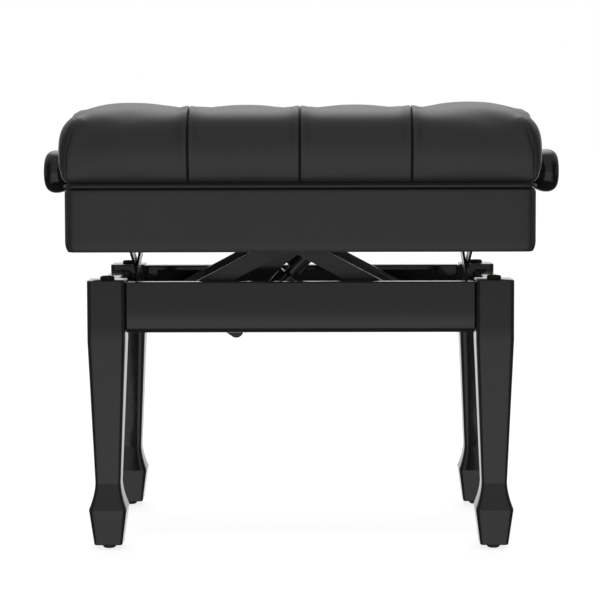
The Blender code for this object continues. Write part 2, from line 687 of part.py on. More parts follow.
def add_strut(foot, head):
    turn = (0, -strut_angle(), 0)
    profile = [
        (EYE_RADIUS / 2, 0), (EYE_RADIUS / 2, STRUT_RADIUS), (STRUT_TUBE, STRUT_RADIUS),
        (STRUT_TUBE, STRUT_BORE), (STRUT_BORE_START, STRUT_BORE), (STRUT_BORE_START, 0),
    ]
    tube = add_object("strut_tube", turned(profile), "black_steel", foot, foot.location, turn)
    cut(join(tube, eye("strut_tube_eye", 0)), eye_hole("strut_tube_eye_hole", 0))
    sleeve = strut_length() - STRUT_TUBE - SLEEVE_GAP
    tip = strut_length() - STRUT_TUBE + ROD_OVERLAP
    profile = [
        (-EYE_RADIUS / 2, 0), (-EYE_RADIUS / 2, STRUT_RADIUS), (-sleeve, STRUT_RADIUS), (-sleeve, ROD_RADIUS),
        (-tip, ROD_RADIUS), (-tip, 0),
    ]
    rod = add_object("strut_rod", turned(profile), "black_steel", head, head.location, turn)
    cut(join(rod, eye("strut_rod_eye", 0)), eye_hole("strut_rod_eye_hole", 0))


def hull_plate(circles, y_low, y_high):
    """A plate with the outline of a band round these (x, z, radius) circles."""
    bm = bmesh.new()
    steps = 16
    for x, z, radius in circles:
        for i in range(steps):
            angle = 2 * math.pi * i / steps
            for y in (y_low, y_high):
                bm.verts.new((x + radius * math.cos(angle), y, z + radius * math.sin(angle)))
    made = bmesh.ops.convex_hull(bm, input=bm.verts)
    loose = {g for g in made["geom_interior"] + made["geom_unused"] if isinstance(g, bmesh.types.BMVert)}
    bmesh.ops.delete(bm, geom=list(loose), context="VERTS")
    bmesh.ops.dissolve_limit(bm, angle_limit=math.radians(1), verts=bm.verts, edges=bm.edges)
    return bm


def add_lever(lift):
    """Two plates on the centre shaft, joined by the strut's upper pin and by a tie at their tail."""
    inner = STRUT_RADIUS + SIDE_PLAY
    outer = inner + LEVER_STEEL
    circles = [
        (*LEVER_TAIL, LEVER_TAIL_RADIUS), (*STRUT_HEAD, EYE_RADIUS - GAP), (*CROSSING, LEVER_HUB_RADIUS),
    ]
    lever = add_object("strut_lever", hull_plate(circles, -outer, -inner), "black_steel", lift)
    middle = (inner + outer) / 2
    joined = [add_object("strut_lever_rear", hull_plate(circles, inner, outer))]
    for name, (x, z), radius in (("pin", STRUT_HEAD, STRUT_PIN), ("tie", LEVER_TAIL, TIE_RADIUS)):
        joined.append(add_object(f"strut_lever_{name}", cylinder(radius, (x, -middle, z), (x, middle, z))))
    join(lever, *joined)
    x, z = CROSSING
    hole = cylinder(SHAFT_RADIUS + GAP, (x, -2 * outer, z), (x, 2 * outer, z))
    cut(lever, add_object("strut_lever_hole", hole))


def add_crossbar():
    """The flat bar under the lower channels, with two ears and the pin of the strut's foot."""
    top = LOWER_PIVOT_Z - CHANNEL_HALF_HEIGHT - GAP
    half = CROSSBAR_WIDTH / 2
    low = (CROSSBAR_X - half, -CHANNEL_BACK, top - CROSSBAR_STEEL)
    bar = add_object("strut_crossbar", block(low, (CROSSBAR_X + half, CHANNEL_BACK, top)), "black_steel")
    inner = STRUT_RADIUS + SIDE_PLAY
    outer = inner + EAR_STEEL
    radius = CROSSBAR_STEEL / 2
    circles = [
        (*STRUT_FOOT, EYE_RADIUS - GAP), (CROSSBAR_X - half + radius, top - radius, radius),
        (CROSSBAR_X + half - radius, top - radius, radius),
    ]
    middle = (inner + outer) / 2
    x, z = STRUT_FOOT
    join(
        bar,
        add_object("crossbar_front_ear", hull_plate(circles, -outer, -inner)),
        add_object("crossbar_rear_ear", hull_plate(circles, inner, outer)),
        add_object("crossbar_pin", cylinder(STRUT_PIN, (x, -middle, z), (x, middle, z))),
    )


# ---- Side stabiliser links -------------------------------------------------
def link_plate(start, end, layer, sx):
    points = [(sx * layer, y, z) for y, z in stadium((start, 0), (end, 0), LINK_WIDTH / 2)]
    return extruded(points, (sx * LINK_STEEL, 0, 0))


def link_pin(name, y, sx, start, end, play=0.0):
    return add_object(name, cylinder(LINK_PIN + play, (sx * start, y, 0), (sx * end, y, 0), 12))


def add_links(side, sx, rising, crossed):
    """Two flat bars that cross: the rising one turns on the frame, the crossed one on the seat."""
    through = (LINK_LAYER - LINK_STEEL, LINK_WEB + LINK_STEEL)
    bite = LINK_WEB + CHANNEL_STEEL
    turn = (LINK_ANGLE, 0, 0)
    at = (0, LINK_PIVOT_Y, LINK_LOWER_Z)
    first = add_object(
        f"{side}_rising_link", link_plate(0, LINK_LENGTH, LINK_LAYER, sx), "black_steel", rising, at, turn
    )
    join(
        first,
        link_pin(f"{side}_link_slide_pin", LINK_LENGTH, sx, LINK_LAYER + LINK_STEEL / 2, bite),
        link_pin(
            f"{side}_link_centre_pin", LINK_LENGTH / 2, sx, LINK_LAYER + LINK_STEEL / 2,
            LINK_OUTER_LAYER + LINK_STEEL + SIDE_PLAY / 2,
        ),
    )
    cut(first, link_pin(f"{side}_rising_link_hole", 0, sx, *through, GAP))
    half = LINK_LENGTH / 2
    centre = (0, LINK_PIVOT_Y + half * math.cos(LINK_ANGLE), LINK_LOWER_Z + half * math.sin(LINK_ANGLE))
    second = add_object(
        f"{side}_crossed_link", link_plate(-half, half, LINK_OUTER_LAYER, sx), "black_steel",
        crossed, centre, (-LINK_ANGLE, 0, 0),
    )
    join(second, link_pin(f"{side}_crossed_slide_pin", half, sx, LINK_OUTER_LAYER + LINK_STEEL / 2, bite))
    cut(
        second,
        link_pin(f"{side}_crossed_link_middle", 0, sx, *through, GAP),
        link_pin(f"{side}_crossed_link_high", -half, sx, *through, LINK_PLAY),
    )


def link_channel(name, z, sx, reach, pin_start, play, parent):
    """Channel with a pivot pin at its front end and a slot for the sliding pin."""
    half = LINK_CHANNEL_HEIGHT / 2
    web, inside = sx * LINK_WEB, sx * (LINK_WEB + CHANNEL_STEEL)
    lip = half - CHANNEL_STEEL
    outline = [
        (web, z - half), (sx * reach, z - half), (sx * reach, z - lip), (inside, z - lip),
        (inside, z + lip), (sx * reach, z + lip), (sx * reach, z + half), (web, z + half),
    ]
    points = [(x, -LINK_CHANNEL_HALF, h) for x, h in outline]
    body = add_object(name, extruded(points, (0, 2 * LINK_CHANNEL_HALF, 0)), "black_steel", parent)
    start, end = sx * pin_start, sx * (LINK_WEB + CHANNEL_STEEL / 2)
    pin = cylinder(LINK_PIN, (start, LINK_PIVOT_Y, z), (end, LINK_PIVOT_Y, z), 12)
    join(body, add_object(f"{name}_pin", pin))
    radius = LINK_PIN + play
    slot_x = sx * (LINK_WEB - CHANNEL_STEEL)
    slot = [(slot_x, y, h) for y, h in stadium((0, z), (LINK_SLOT_END - radius, z), radius)]
    return cut(body, add_object(f"{name}_slot", extruded(slot, (sx * 3 * CHANNEL_STEEL, 0, 0))))


def add_link_channels(seat):
    for side, sx in (("left", -1), ("right", 1)):
        frame_reach = SIDE_RAIL_INNER_X - GAP
        seat_reach = BOX_LENGTH / 2 - PANEL_THICKNESS - GAP
        link_channel(
            f"{side}_frame_link_channel", LINK_LOWER_Z, sx, frame_reach, LINK_LAYER, 2 * GAP, None
        )
        link_channel(
            f"{side}_seat_link_channel", LINK_UPPER_Z, sx, seat_reach, LINK_OUTER_LAYER, LINK_PLAY, seat
        )


def main():
    clear_scene()
    lift = add_pivot("lift_pivot", (PIVOT_X, 0, LOWER_PIVOT_Z))
    cross = add_pivot("crossing_pivot", (CROSSING[0], 0, CROSSING[1]))
    seat = add_pivot("seat_pivot", (PIVOT_X, 0, UPPER_PIVOT_Z))
    nut = add_pivot("nut_pivot", (FREE_PIVOT_X, 0, UPPER_PIVOT_Z))
    spindle = add_pivot("spindle_axis", (0, 0, UPPER_PIVOT_Z))
    foot = add_pivot("strut_foot_pivot", (STRUT_FOOT[0], 0, STRUT_FOOT[1]))
    head = add_pivot("strut_head_pivot", (STRUT_HEAD[0], 0, STRUT_HEAD[1]))
    add_frame()
    add_channels(seat)
    add_crossbar()
    add_arms(lift, cross)
    add_shafts(lift, cross, seat)
    add_lever(lift)
    add_strut(foot, head)
    add_spindle(spindle, nut, seat)
    for place, sy in (("front", -1), ("rear", 1)):
        add_end_panel(place, sy, seat)
    for side, sx in (("left", -1), ("right", 1)):
        add_side_panel(side, sx, seat)
        rising = add_pivot(f"{side}_rising_pivot", (0, LINK_PIVOT_Y, LINK_LOWER_Z))
        middle_y = LINK_PIVOT_Y + LINK_LENGTH / 2 * math.cos(LINK_ANGLE)
        crossed = add_pivot(f"{side}_crossed_pivot", (0, middle_y, (LINK_LOWER_Z + LINK_UPPER_Z) / 2))
        add_links(side, sx, rising, crossed)
    add_link_channels(seat)
    add_board(seat)
    add_battens(seat)
    add_cushion(seat)
    add_piping(seat)


main()
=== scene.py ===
"""Looks of a height-adjustable piano bench: tufted cushion, scissor lift and lacquered frame."""

import math

import bmesh
import bpy
from mathutils import Matrix, Vector


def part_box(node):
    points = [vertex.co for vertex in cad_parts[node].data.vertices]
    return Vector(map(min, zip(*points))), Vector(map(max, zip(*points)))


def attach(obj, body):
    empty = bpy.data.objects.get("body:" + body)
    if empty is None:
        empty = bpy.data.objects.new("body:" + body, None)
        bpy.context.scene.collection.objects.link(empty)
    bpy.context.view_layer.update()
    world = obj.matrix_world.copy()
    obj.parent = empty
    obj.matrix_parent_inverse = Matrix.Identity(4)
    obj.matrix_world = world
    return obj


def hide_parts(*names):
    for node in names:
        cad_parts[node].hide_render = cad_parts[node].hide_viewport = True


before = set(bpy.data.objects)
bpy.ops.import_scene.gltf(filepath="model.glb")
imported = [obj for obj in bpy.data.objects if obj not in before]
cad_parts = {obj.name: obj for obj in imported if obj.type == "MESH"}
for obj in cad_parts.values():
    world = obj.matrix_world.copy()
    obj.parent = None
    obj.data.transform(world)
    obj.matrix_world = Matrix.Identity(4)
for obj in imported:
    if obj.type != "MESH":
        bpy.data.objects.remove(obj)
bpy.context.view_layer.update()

# ---- Studio ----------------------------------------------------------------
# The bench stands on a pale floor between two white walls. Black cloths at the sides keep the
# edges of the black pieces dark, and a soft lamp hangs over the seat. The ranges are of the
# direction's X, Y or Z, or of how well it agrees with the way to the ceiling lamp.
CAMERA_AT = (0.0200, -2.3000, 0.4985)
CAMERA_DOWN = 3.155
CAMERA_LEFT = 0.538
CAMERA_TILT = 0.167
CAMERA_LENS = 111.12
CAMERA_SHIFT = -0.12
FRONT_WALL = 0.50
FRONT_WALL_LOW = 0.875
FRONT_WALL_BRIGHTENS = (-0.09, -0.19)
FRONT_WALL_DIMMING = 0.9
FRONT_WALL_DIMS = (-0.26, -0.50)
FRONT_WALL_FOOT = (-0.92, -0.70)
FRONT_WALL_ENDS = (0.80, 0.26)
FRONT_WALL_BEGINS = (0.0, -0.25)
BACK_WALL = 1.0
BACK_WALL_BEGINS = (0.75, 0.95)
SIDE_STRIP = 0.30
SIDE_STRIP_BEGINS = (0.93, 0.985)
CEILING = 0.55
CEILING_BEGINS = (-0.1, 0.9)
CEILING_LAMP = 2.2
CEILING_LAMP_BEGINS = (0.84, 1.0)
CEILING_WAY = (0.0, 0.60, 0.80)
CLOTH = 0.03

camera = bpy.data.objects.new("camera", bpy.data.cameras.new("camera"))
camera.data.lens = CAMERA_LENS
camera.data.shift_y = CAMERA_SHIFT
camera.location = CAMERA_AT
camera.rotation_euler = (math.radians(90 - CAMERA_DOWN), 0, math.radians(CAMERA_LEFT))
camera.rotation_euler.rotate_axis("Z", math.radians(-CAMERA_TILT))
bpy.context.scene.collection.objects.link(camera)
bpy.context.scene.camera = camera
bpy.context.scene.view_settings.view_transform = "Standard"


def add_node(tree, kind, settings=(), **inputs):
    """Adds a node; an input is a value or another node's output."""
    node = tree.nodes.new(kind)
    for key, value in dict(settings).items():
        setattr(node, key, value)
    for key, value in inputs.items():
        numbered = key[0] == "i" and key[1:].isdigit()
        socket = node.inputs[int(key[1:]) if numbered else key.replace("_", " ")]
        if isinstance(value, bpy.types.NodeSocket):
            tree.links.new(value, socket)
        else:
            socket.default_value = value
    return node


def ramp(tree, value, start, end, low=0.0, high=1.0):
    """Goes smoothly from low to high as the value goes from start to end."""
    node = add_node(
        tree, "ShaderNodeMapRange", {"interpolation_type": "SMOOTHSTEP"},
        Value=value, From_Min=start, From_Max=end, To_Min=low, To_Max=high,
    )
    return node.outputs[0]


def calculate(tree, operation, a, b):
    return add_node(tree, "ShaderNodeMath", {"operation": operation}, i0=a, i1=b).outputs[0]


room = bpy.data.worlds.new("white_room")
bpy.context.scene.world = room
room.use_nodes = True
tree = room.node_tree
tree.nodes.clear()
way = add_node(tree, "ShaderNodeTexCoord").outputs["Generated"]
split = add_node(tree, "ShaderNodeSeparateXYZ", i0=way)
sideways = calculate(tree, "ABSOLUTE", split.outputs["X"], 0.0)
wall = ramp(tree, split.outputs["Z"], *FRONT_WALL_BRIGHTENS, FRONT_WALL, FRONT_WALL_LOW)
for share in (
    ramp(tree, split.outputs["Z"], *FRONT_WALL_DIMS, 1.0, FRONT_WALL_DIMMING),
    ramp(tree, split.outputs["Z"], *FRONT_WALL_FOOT),
    ramp(tree, sideways, *FRONT_WALL_ENDS),
    ramp(tree, split.outputs["Y"], *FRONT_WALL_BEGINS),
):
    wall = calculate(tree, "MULTIPLY", wall, share)
light = calculate(tree, "MAXIMUM", wall, CLOTH)
back = ramp(tree, split.outputs["Y"], *BACK_WALL_BEGINS, CLOTH, BACK_WALL)
light = calculate(tree, "MAXIMUM", light, back)
strips = ramp(tree, sideways, *SIDE_STRIP_BEGINS, CLOTH, SIDE_STRIP)
light = calculate(tree, "MAXIMUM", light, strips)
overhead = add_node(tree, "ShaderNodeVectorMath", {"operation": "DOT_PRODUCT"}, i0=way, i1=CEILING_WAY)
overhead = overhead.outputs["Value"]
ceiling = ramp(tree, overhead, *CEILING_BEGINS, 0.0, CEILING)
ceiling = calculate(tree, "ADD", ceiling, ramp(tree, overhead, *CEILING_LAMP_BEGINS, 0.0, CEILING_LAMP))
light = calculate(tree, "MAXIMUM", light, ceiling)
seen = add_node(tree, "ShaderNodeLightPath").outputs["Is Camera Ray"]
light = calculate(tree, "MAXIMUM", light, seen)
glow = add_node(tree, "ShaderNodeBackground", Strength=light)
glow.inputs["Color"].default_value = (1, 1, 1, 1)
add_node(tree, "ShaderNodeOutputWorld", Surface=glow.outputs[0])

FLOOR_SIZE = 60.0
FLOOR_GLOW = 0.83
FLOOR_PAINT = 0.34
floor_paint = bpy.data.materials.new("floor_paint")
floor_paint.use_nodes = True
shader = floor_paint.node_tree.nodes["Principled BSDF"]
shader.inputs["Base Color"].default_value = (FLOOR_PAINT, FLOOR_PAINT, FLOOR_PAINT, 1)
shader.inputs["Roughness"].default_value = 0.9
shader.inputs["Specular IOR Level"].default_value = 0.0
shader.inputs["Emission Color"].default_value = (1, 1, 1, 1)
shader.inputs["Emission Strength"].default_value = FLOOR_GLOW
bm = bmesh.new()
bmesh.ops.create_grid(bm, x_segments=2, y_segments=2, size=FLOOR_SIZE / 2)
floor_mesh = bpy.data.meshes.new("studio_floor")
bm.to_mesh(floor_mesh)
bm.free()
floor_mesh.materials.append(floor_paint)
floor = bpy.data.objects.new("studio_floor", floor_mesh)
bpy.context.scene.collection.objects.link(floor)
floor.visible_glossy = False

LAMP_WIDTH = 1.6
LAMP_DEPTH = 0.5
LAMP_POWER = 14
LAMP_AT = (0.0, -0.9, 2.4)
LAMP_TILT = 24
lamp = bpy.data.objects.new("overhead_lamp", bpy.data.lights.new("overhead_lamp", "AREA"))
lamp.data.shape = "RECTANGLE"
lamp.data.size = LAMP_WIDTH
lamp.data.size_y = LAMP_DEPTH
lamp.data.energy = LAMP_POWER
lamp.location = LAMP_AT
lamp.rotation_euler = (math.radians(LAMP_TILT), 0, 0)
lamp.visible_camera = False
lamp.visible_glossy = False
bpy.context.scene.collection.objects.link(lamp)

# ---- Legs ------------------------------------------------------------------
# Four solid beech legs, square at the top, tapered to an ankle and flared into a spade foot.
# They are stained black and sprayed with a thick gloss lacquer that is rubbed to a mirror.
LEG_X = 0.2275
LEG_Y = 0.1275
LEG_WIDTH = 0.045
LEG_TOP = 0.3185
TAPER_TOP = 0.248
# Height and width of the ankle, of the spade's widest edge and of its sole.
ANKLE = (0.0797, 0.0303)
SPADE = (0.0482, 0.045)
SOLE = (0.0055, 0.0335)
COVE_STEPS = 14
COVE_POWER = 1.75
LEG_EDGE = 0.0010
LEG_SQUARENESS = 8.0
SIDE_POINTS = (-0.917, -0.88, -0.83, -0.77, -0.69, -0.58, -0.36, 0.0, 0.36, 0.58, 0.69, 0.77, 0.83, 0.88)
CORNERS = [
    (f"{place}_{side}", sx, sy)
    for place, sy in (("front", -1), ("rear", 1))
    for side, sx in (("left", -1), ("right", 1))
]
LACQUER = (0.0105, 0.0105, 0.0110)
GRAIN_ALONG = 12.0
GRAIN_ACROSS = 260.0


def new_finish(name, colour, roughness, metallic=0.0):
    """Starts a material and gives back its tree, its shader and the piece's own coordinates."""
    finish = bpy.data.materials.new(name)
    finish.use_nodes = True
    tree = finish.node_tree
    shader = tree.nodes["Principled BSDF"]
    shader.inputs["Base Color"].default_value = (*colour, 1)
    shader.inputs["Roughness"].default_value = roughness
    shader.inputs["Metallic"].default_value = metallic
    return finish, tree, shader, add_node(tree, "ShaderNodeTexCoord").outputs["Object"]


def stretched(tree, coordinates, scale):
    return add_node(tree, "ShaderNodeMapping", Vector=coordinates, Scale=scale).outputs[0]


def noise(tree, coordinates, scale, detail=2.0, rough=0.5):
    node = add_node(tree, "ShaderNodeTexNoise", Vector=coordinates, Scale=scale, Detail=detail, Roughness=rough)
    return node.outputs["Fac"]


def tint(tree, shader, amount, dark, light):
    """Colours the shader from dark to light as the amount goes from 0 to 1."""
    mixed = add_node(tree, "ShaderNodeMix", {"data_type": "RGBA"}, i0=amount, i6=(*dark, 1), i7=(*light, 1))
    tree.links.new(mixed.outputs[2], shader.inputs["Base Color"])


def roughen(tree, shader, amount, smooth, rough, start=0.3, end=0.8):
    """Sets the roughness from smooth to rough as the amount goes from start to end."""
    tree.links.new(ramp(tree, amount, start, end, smooth, rough), shader.inputs["Roughness"])


def relief(tree, shader, height, depth, strength=1.0, under=None):
    """Raises the surface by the height, depth metres at most."""
    bump = add_node(tree, "ShaderNodeBump", Height=height, Distance=depth, Strength=strength)
    if under is not None:
        tree.links.new(under, bump.inputs["Normal"])
    tree.links.new(bump.outputs[0], shader.inputs["Normal"])
    return bump.outputs[0]


def lacquer_finish(name, along):
    """Gloss lacquer with the grain under it running along one axis."""
    finish, tree, shader, place = new_finish(name, LACQUER, 0.08)
    fibres = tuple(GRAIN_ALONG if axis == along else GRAIN_ACROSS for axis in "XYZ")
    grain = noise(tree, stretched(tree, place, fibres), 1.0, 5.0, 0.6)
    flow = noise(tree, place, 55.0, 1.0)
    tint(tree, shader, grain, (0.0085, 0.0085, 0.0090), (0.0135, 0.0130, 0.0130))
    roughen(tree, shader, noise(tree, place, 140.0, 3.0), 0.07, 0.15)
    relief(tree, shader, flow, 0.00012, 0.35, relief(tree, shader, grain, 0.00003, 0.30))
    return finish


lacquer_upright = lacquer_finish("black_lacquer_upright", "Z")


def rings_drawn(outlines):
    """Carries a ring of points through these outlines by extruding it once for each."""
    bm = bmesh.new()
    order = bm.verts.layers.int.new("order")
    made = bmesh.ops.create_circle(bm, cap_ends=False, segments=len(outlines[0]), radius=1.0)["verts"]
    for i, vert in enumerate(made):
        vert[order] = i
        vert.co = outlines[0][i]
    loops = [bm.edges[:]]
    for outline in outlines[1:]:
        made = bmesh.ops.extrude_edge_only(bm, edges=loops[-1])["geom"]
        for vert in made:
            if isinstance(vert, bmesh.types.BMVert):
                vert.co = outline[vert[order]]
        fresh = set(made)
        loops.append([
            edge for edge in made
            if isinstance(edge, bmesh.types.BMEdge) and all(vert in fresh for vert in edge.verts)
        ])
    return bm, loops


def soften(bm, width, segments=4, sharper_than=28.0):
    """Rounds every edge that turns more than the angle."""
    edges = [e for e in bm.edges if e.is_manifold and e.calc_face_angle(0) > math.radians(sharper_than)]
    bmesh.ops.bevel(
        bm, geom=edges, offset=width, segments=segments, profile=0.5,
        affect="EDGES", material=-1, clamp_overlap=True,
    )


def fix(name, bm, body, finish, slot, *nodes, sharp=35.0, turn_out=True):
    """Finishes a piece: faces outwards, its finish on, and fixed to the body it moves with."""
    if turn_out:
        bmesh.ops.recalc_face_normals(bm, faces=bm.faces)
    mesh = bpy.data.meshes.new(name)
    bm.to_mesh(mesh)
    bm.free()
    mesh.materials.append(finish)
    mesh.shade_smooth()
    mesh.set_sharp_from_angle(angle=math.radians(sharp))
    piece = bpy.data.objects.new(name, mesh)
    bpy.context.scene.collection.objects.link(piece)
    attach(piece, body)
    if nodes:
        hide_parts(*nodes)
    return piece


def leg_section(x, y, z, width):
    """A square section whose faces are rubbed slightly round and ease into the corners."""
    points = []
    for quarter in range(4):
        turn = Matrix.Rotation(math.pi / 2 * quarter, 2)
        for share in SIDE_POINTS:
            out = (1 - abs(share) ** LEG_SQUARENESS) ** (1 / LEG_SQUARENESS)
            spot = turn @ Vector((out, share)) * width / 2
            points.append((x + spot.x, y + spot.y, z))
    return points


leg_sections = [SOLE]
for i in range(COVE_STEPS, -1, -1):
    drop = i / COVE_STEPS
    level = ANKLE[0] - (ANKLE[0] - SPADE[0]) * drop
    width = ANKLE[1] + (SPADE[1] - ANKLE[1]) * drop ** COVE_POWER
    leg_sections.append((level, width))
leg_sections += [(TAPER_TOP, LEG_WIDTH), (LEG_TOP, LEG_WIDTH)]
for name, sx, sy in CORNERS:
    bm, loops = rings_drawn([leg_section(sx * LEG_X, sy * LEG_Y, z, width) for z, width in leg_sections])
    bmesh.ops.holes_fill(bm, edges=loops[0] + loops[-1])
    bmesh.ops.recalc_face_normals(bm, faces=bm.faces)
    soften(bm, LEG_EDGE)
    fix(f"{name}_spade_leg", bm, "frame", lacquer_upright, "black_lacquer", f"{name}_leg")

# ---- Foot pads and bumpers -------------------------------------------------
# A turned rubber pad is nailed under each spade foot, and a rubber button sits on each leg's
# top, where the lowered seat comes to rest.
PAD = [(0.0, 0.0), (0.0, 0.0058), (0.0006, 0.0070), (0.0020, 0.0078), (0.0052, 0.0078), (0.0052, 0.0)]
BUMPER = [
    (0.0, 0.0), (0.0, 0.0085), (0.0024, 0.0085), (0.0034, 0.0080),
    (0.0040, 0.0066), (0.0040, 0.0024), (0.0035, 0.0018), (0.0035, 0.0),
]
BUMPER_FOOT = 0.3188


def turned(profile, start, way, steps=32):
    """Turns an (along, radius) profile about an axis that starts at a point."""
    bm = bmesh.new()
    verts = [bm.verts.new((radius, 0, along)) for along, radius in profile]
    for pair in zip(verts, verts[1:]):
        bm.edges.new(pair)
    bmesh.ops.spin(
        bm, geom=bm.verts[:] + bm.edges[:], cent=(0, 0, 0), axis=(0, 0, 1),
        angle=2 * math.pi, steps=steps, use_merge=True,
    )
    bmesh.ops.remove_doubles(bm, verts=bm.verts, dist=0.000001)
    place = Matrix.Translation(Vector(start)) @ Vector(way).to_track_quat("Z", "Y").to_matrix().to_4x4()
    bmesh.ops.transform(bm, matrix=place, verts=bm.verts)
    return bm


rubber, tree, shader, place = new_finish("black_rubber", (0.012, 0.012, 0.012), 0.7)
dust = noise(tree, place, 900.0, 4.0, 0.7)
tint(tree, shader, dust, (0.007, 0.007, 0.007), (0.022, 0.022, 0.021))
relief(tree, shader, dust, 0.0002, 0.5)
for name, sx, sy in CORNERS:
    spot = (sx * LEG_X, sy * LEG_Y)
    pad = turned(PAD, (*spot, 0), (0, 0, 1))
    fix(f"{name}_rubber_pad", pad, "frame", rubber, "rubber", f"{name}_foot_pad")
    button = turned(BUMPER, (*spot, BUMPER_FOOT), (0, 0, 1))
    fix(f"{name}_rubber_button", button, "frame", rubber, "rubber", f"{name}_bumper")

# ---- Rails -----------------------------------------------------------------
# Four rails dowelled between the legs, a little behind the legs' faces, in the same gloss
# lacquer with the grain running along them.
RAIL_EDGE = 0.0018
RAIL_FOOT_EDGE = 0.0095
RAIL_WIDEST = 0.1
lacquer_long = lacquer_finish("black_lacquer_long", "X")
lacquer_deep = lacquer_finish("black_lacquer_deep", "Y")


def block(low, high):
    """A box from its lowest to its highest corner."""
    low, high = Vector(low), Vector(high)
    bm = bmesh.new()
    bmesh.ops.create_cube(bm, size=1)
    bmesh.ops.scale(bm, vec=high - low, verts=bm.verts)
    bmesh.ops.translate(bm, vec=(low + high) / 2, verts=bm.verts)
    return bm


for side, finish, along in (
    ("front", lacquer_long, "x"), ("rear", lacquer_long, "x"),
    ("left", lacquer_deep, "y"), ("right", lacquer_deep, "y"),
):
    low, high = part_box(f"{side}_rail")
    bm = block(low, high)
    under = [
        e for e in bm.edges
        if all(abs(v.co.z - low.z) < 0.0001 for v in e.verts)
        and abs(getattr(e.verts[0].co - e.verts[1].co, along)) > RAIL_WIDEST
    ]
    bmesh.ops.bevel(
        bm, geom=under, offset=RAIL_FOOT_EDGE, segments=8, profile=0.5, affect="EDGES", material=-1,
    )
    soften(bm, RAIL_EDGE)
    fix(f"{side}_apron", bm, "frame", finish, "black_lacquer", f"{side}_rail")

# ---- Steel channels --------------------------------------------------------
# Folded sheet-steel channels guide the arms: a long pair screwed inside the rails, a long
# pair on the seat's battens, and short ones at the sides for the links. All powder coated, drawn
# in a darker, duller copy of the coat: painted shade for the shade inside the channels.
FOLD_EDGE = 0.0006
black_steel, tree, shader, place = new_finish("powder_coat", (0.011, 0.011, 0.012), 0.26)
shader.inputs["Specular IOR Level"].default_value = 0.5
speck = noise(tree, place, 1600.0, 3.0, 0.6)
rubbed = ramp(tree, noise(tree, place, 30.0, 4.0, 0.6), 0.35, 0.75)
tint(tree, shader, rubbed, (0.008, 0.008, 0.009), (0.013, 0.013, 0.014))
roughen(tree, shader, rubbed, 0.20, 0.32, 0.0, 1.0)
relief(tree, shader, speck, 0.00006, 0.5)


def eased_copy(name, node, body, finish, width=FOLD_EDGE, segments=2, slot="black_steel"):
    """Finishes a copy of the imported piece, its flat faces made whole and its arrises rounded."""
    bm = bmesh.new()
    bm.from_mesh(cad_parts[node].data)
    bmesh.ops.remove_doubles(bm, verts=bm.verts, dist=0.00001)
    bmesh.ops.dissolve_limit(bm, angle_limit=math.radians(1), verts=bm.verts, edges=bm.edges)
    piece = fix(name, bm, body, finish, slot, node, turn_out=False)
    rounding = piece.modifiers.new("eased_edges", "BEVEL")
    rounding.width = width
    rounding.segments = segments
    rounding.limit_method = "ANGLE"
    rounding.angle_limit = math.radians(35)
    rounding.harden_normals = True


# Painted shade: the channels' steel is a copy of the powder coat made darker and less glossy, standing for the
# shade inside them; its streaks are random tone.
shade_darkened_steel, tree, shader, place = new_finish("shade_darkened_steel", (0.004, 0.004, 0.004), 0.5)
shader.inputs["Specular IOR Level"].default_value = 0.16
streaks = noise(tree, stretched(tree, place, (8.0, 60.0, 60.0)), 1.0, 4.0, 0.6)
tint(tree, shader, streaks, (0.0025, 0.0025, 0.0025), (0.0080, 0.0076, 0.0070))
relief(tree, shader, streaks, 0.0001, 0.4)
for end in ("front", "rear"):
    for level, body in (("lower", "frame"), ("upper", "seat")):
        eased_copy(f"{end}_{level}_track", f"{end}_{level}_channel", body, shade_darkened_steel)
for side in ("left", "right"):
    for body in ("frame", "seat"):
        eased_copy(f"{side}_{body}_link_track", f"{side}_{body}_link_channel", body, shade_darkened_steel)

# ---- Scissor arms, lever and crossbar --------------------------------------
# Two crossed pairs of pressed steel arms carry the seat. The lever on their middle shaft and
# the flat bar under the tracks hold the spring strut. The arms and the bar are powder coated,
# and the lever is sprayed gloss black.
ARM_EDGE = 0.0012
for end in ("front", "rear"):
    for layer in ("outer", "inner"):
        node = f"{end}_{layer}_arm"
        eased_copy(f"{end}_{layer}_scissor_arm", node, f"{layer}_arms", black_steel, ARM_EDGE, 3)
spring_paint, tree, shader, place = new_finish("spring_paint", (0.010, 0.010, 0.010), 0.09)
roughen(tree, shader, noise(tree, place, 300.0, 3.0), 0.07, 0.14)
relief(tree, shader, noise(tree, place, 700.0, 2.0), 0.00003, 0.3)
eased_copy("spring_lever", "strut_lever", "outer_arms", spring_paint)
eased_copy("spring_crossbar", "strut_crossbar", "frame", black_steel)

# ---- Shafts ----------------------------------------------------------------
# Plain ground-steel rods, chamfered at both ends, join the arms and slide in the channels.
CHAMFER = 0.0008
bright_steel, tree, shader, place = new_finish("bright_steel", (0.52, 0.52, 0.53), 0.25, metallic=1.0)
rings = noise(tree, stretched(tree, place, (900.0, 900.0, 900.0)), 1.0, 3.0, 0.7)
oil = noise(tree, place, 60.0, 3.0)
tint(tree, shader, oil, (0.38, 0.38, 0.39), (0.60, 0.60, 0.60))
roughen(tree, shader, rings, 0.18, 0.36)
relief(tree, shader, rings, 0.00003, 0.4)


def rod(start, end, radius, steps=28):
    """A rod with chamfered ends."""
    start, end = Vector(start), Vector(end)
    long = (end - start).length
    profile = [
        (0, 0), (0, radius - CHAMFER), (CHAMFER, radius),
        (long - CHAMFER, radius), (long, radius - CHAMFER), (long, 0),
    ]
    return turned(profile, start, end - start, steps)


for node, body in (
    ("lower_pivot_shaft", "frame"), ("lower_slide_shaft", "inner_arms"), ("centre_shaft", "outer_arms"),
    ("front_nut_shaft", "outer_arms"), ("rear_nut_shaft", "outer_arms"),
    ("front_upper_pivot", "seat"), ("rear_upper_pivot", "seat"),
):
    low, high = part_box(node)
    middle = (low + high) / 2
    bm = rod((middle.x, low.y, middle.z), (middle.x, high.y, middle.z), (high.x - low.x) / 2)
    fix(f"{node}_rod", bm, body, bright_steel, "bright_steel", node)

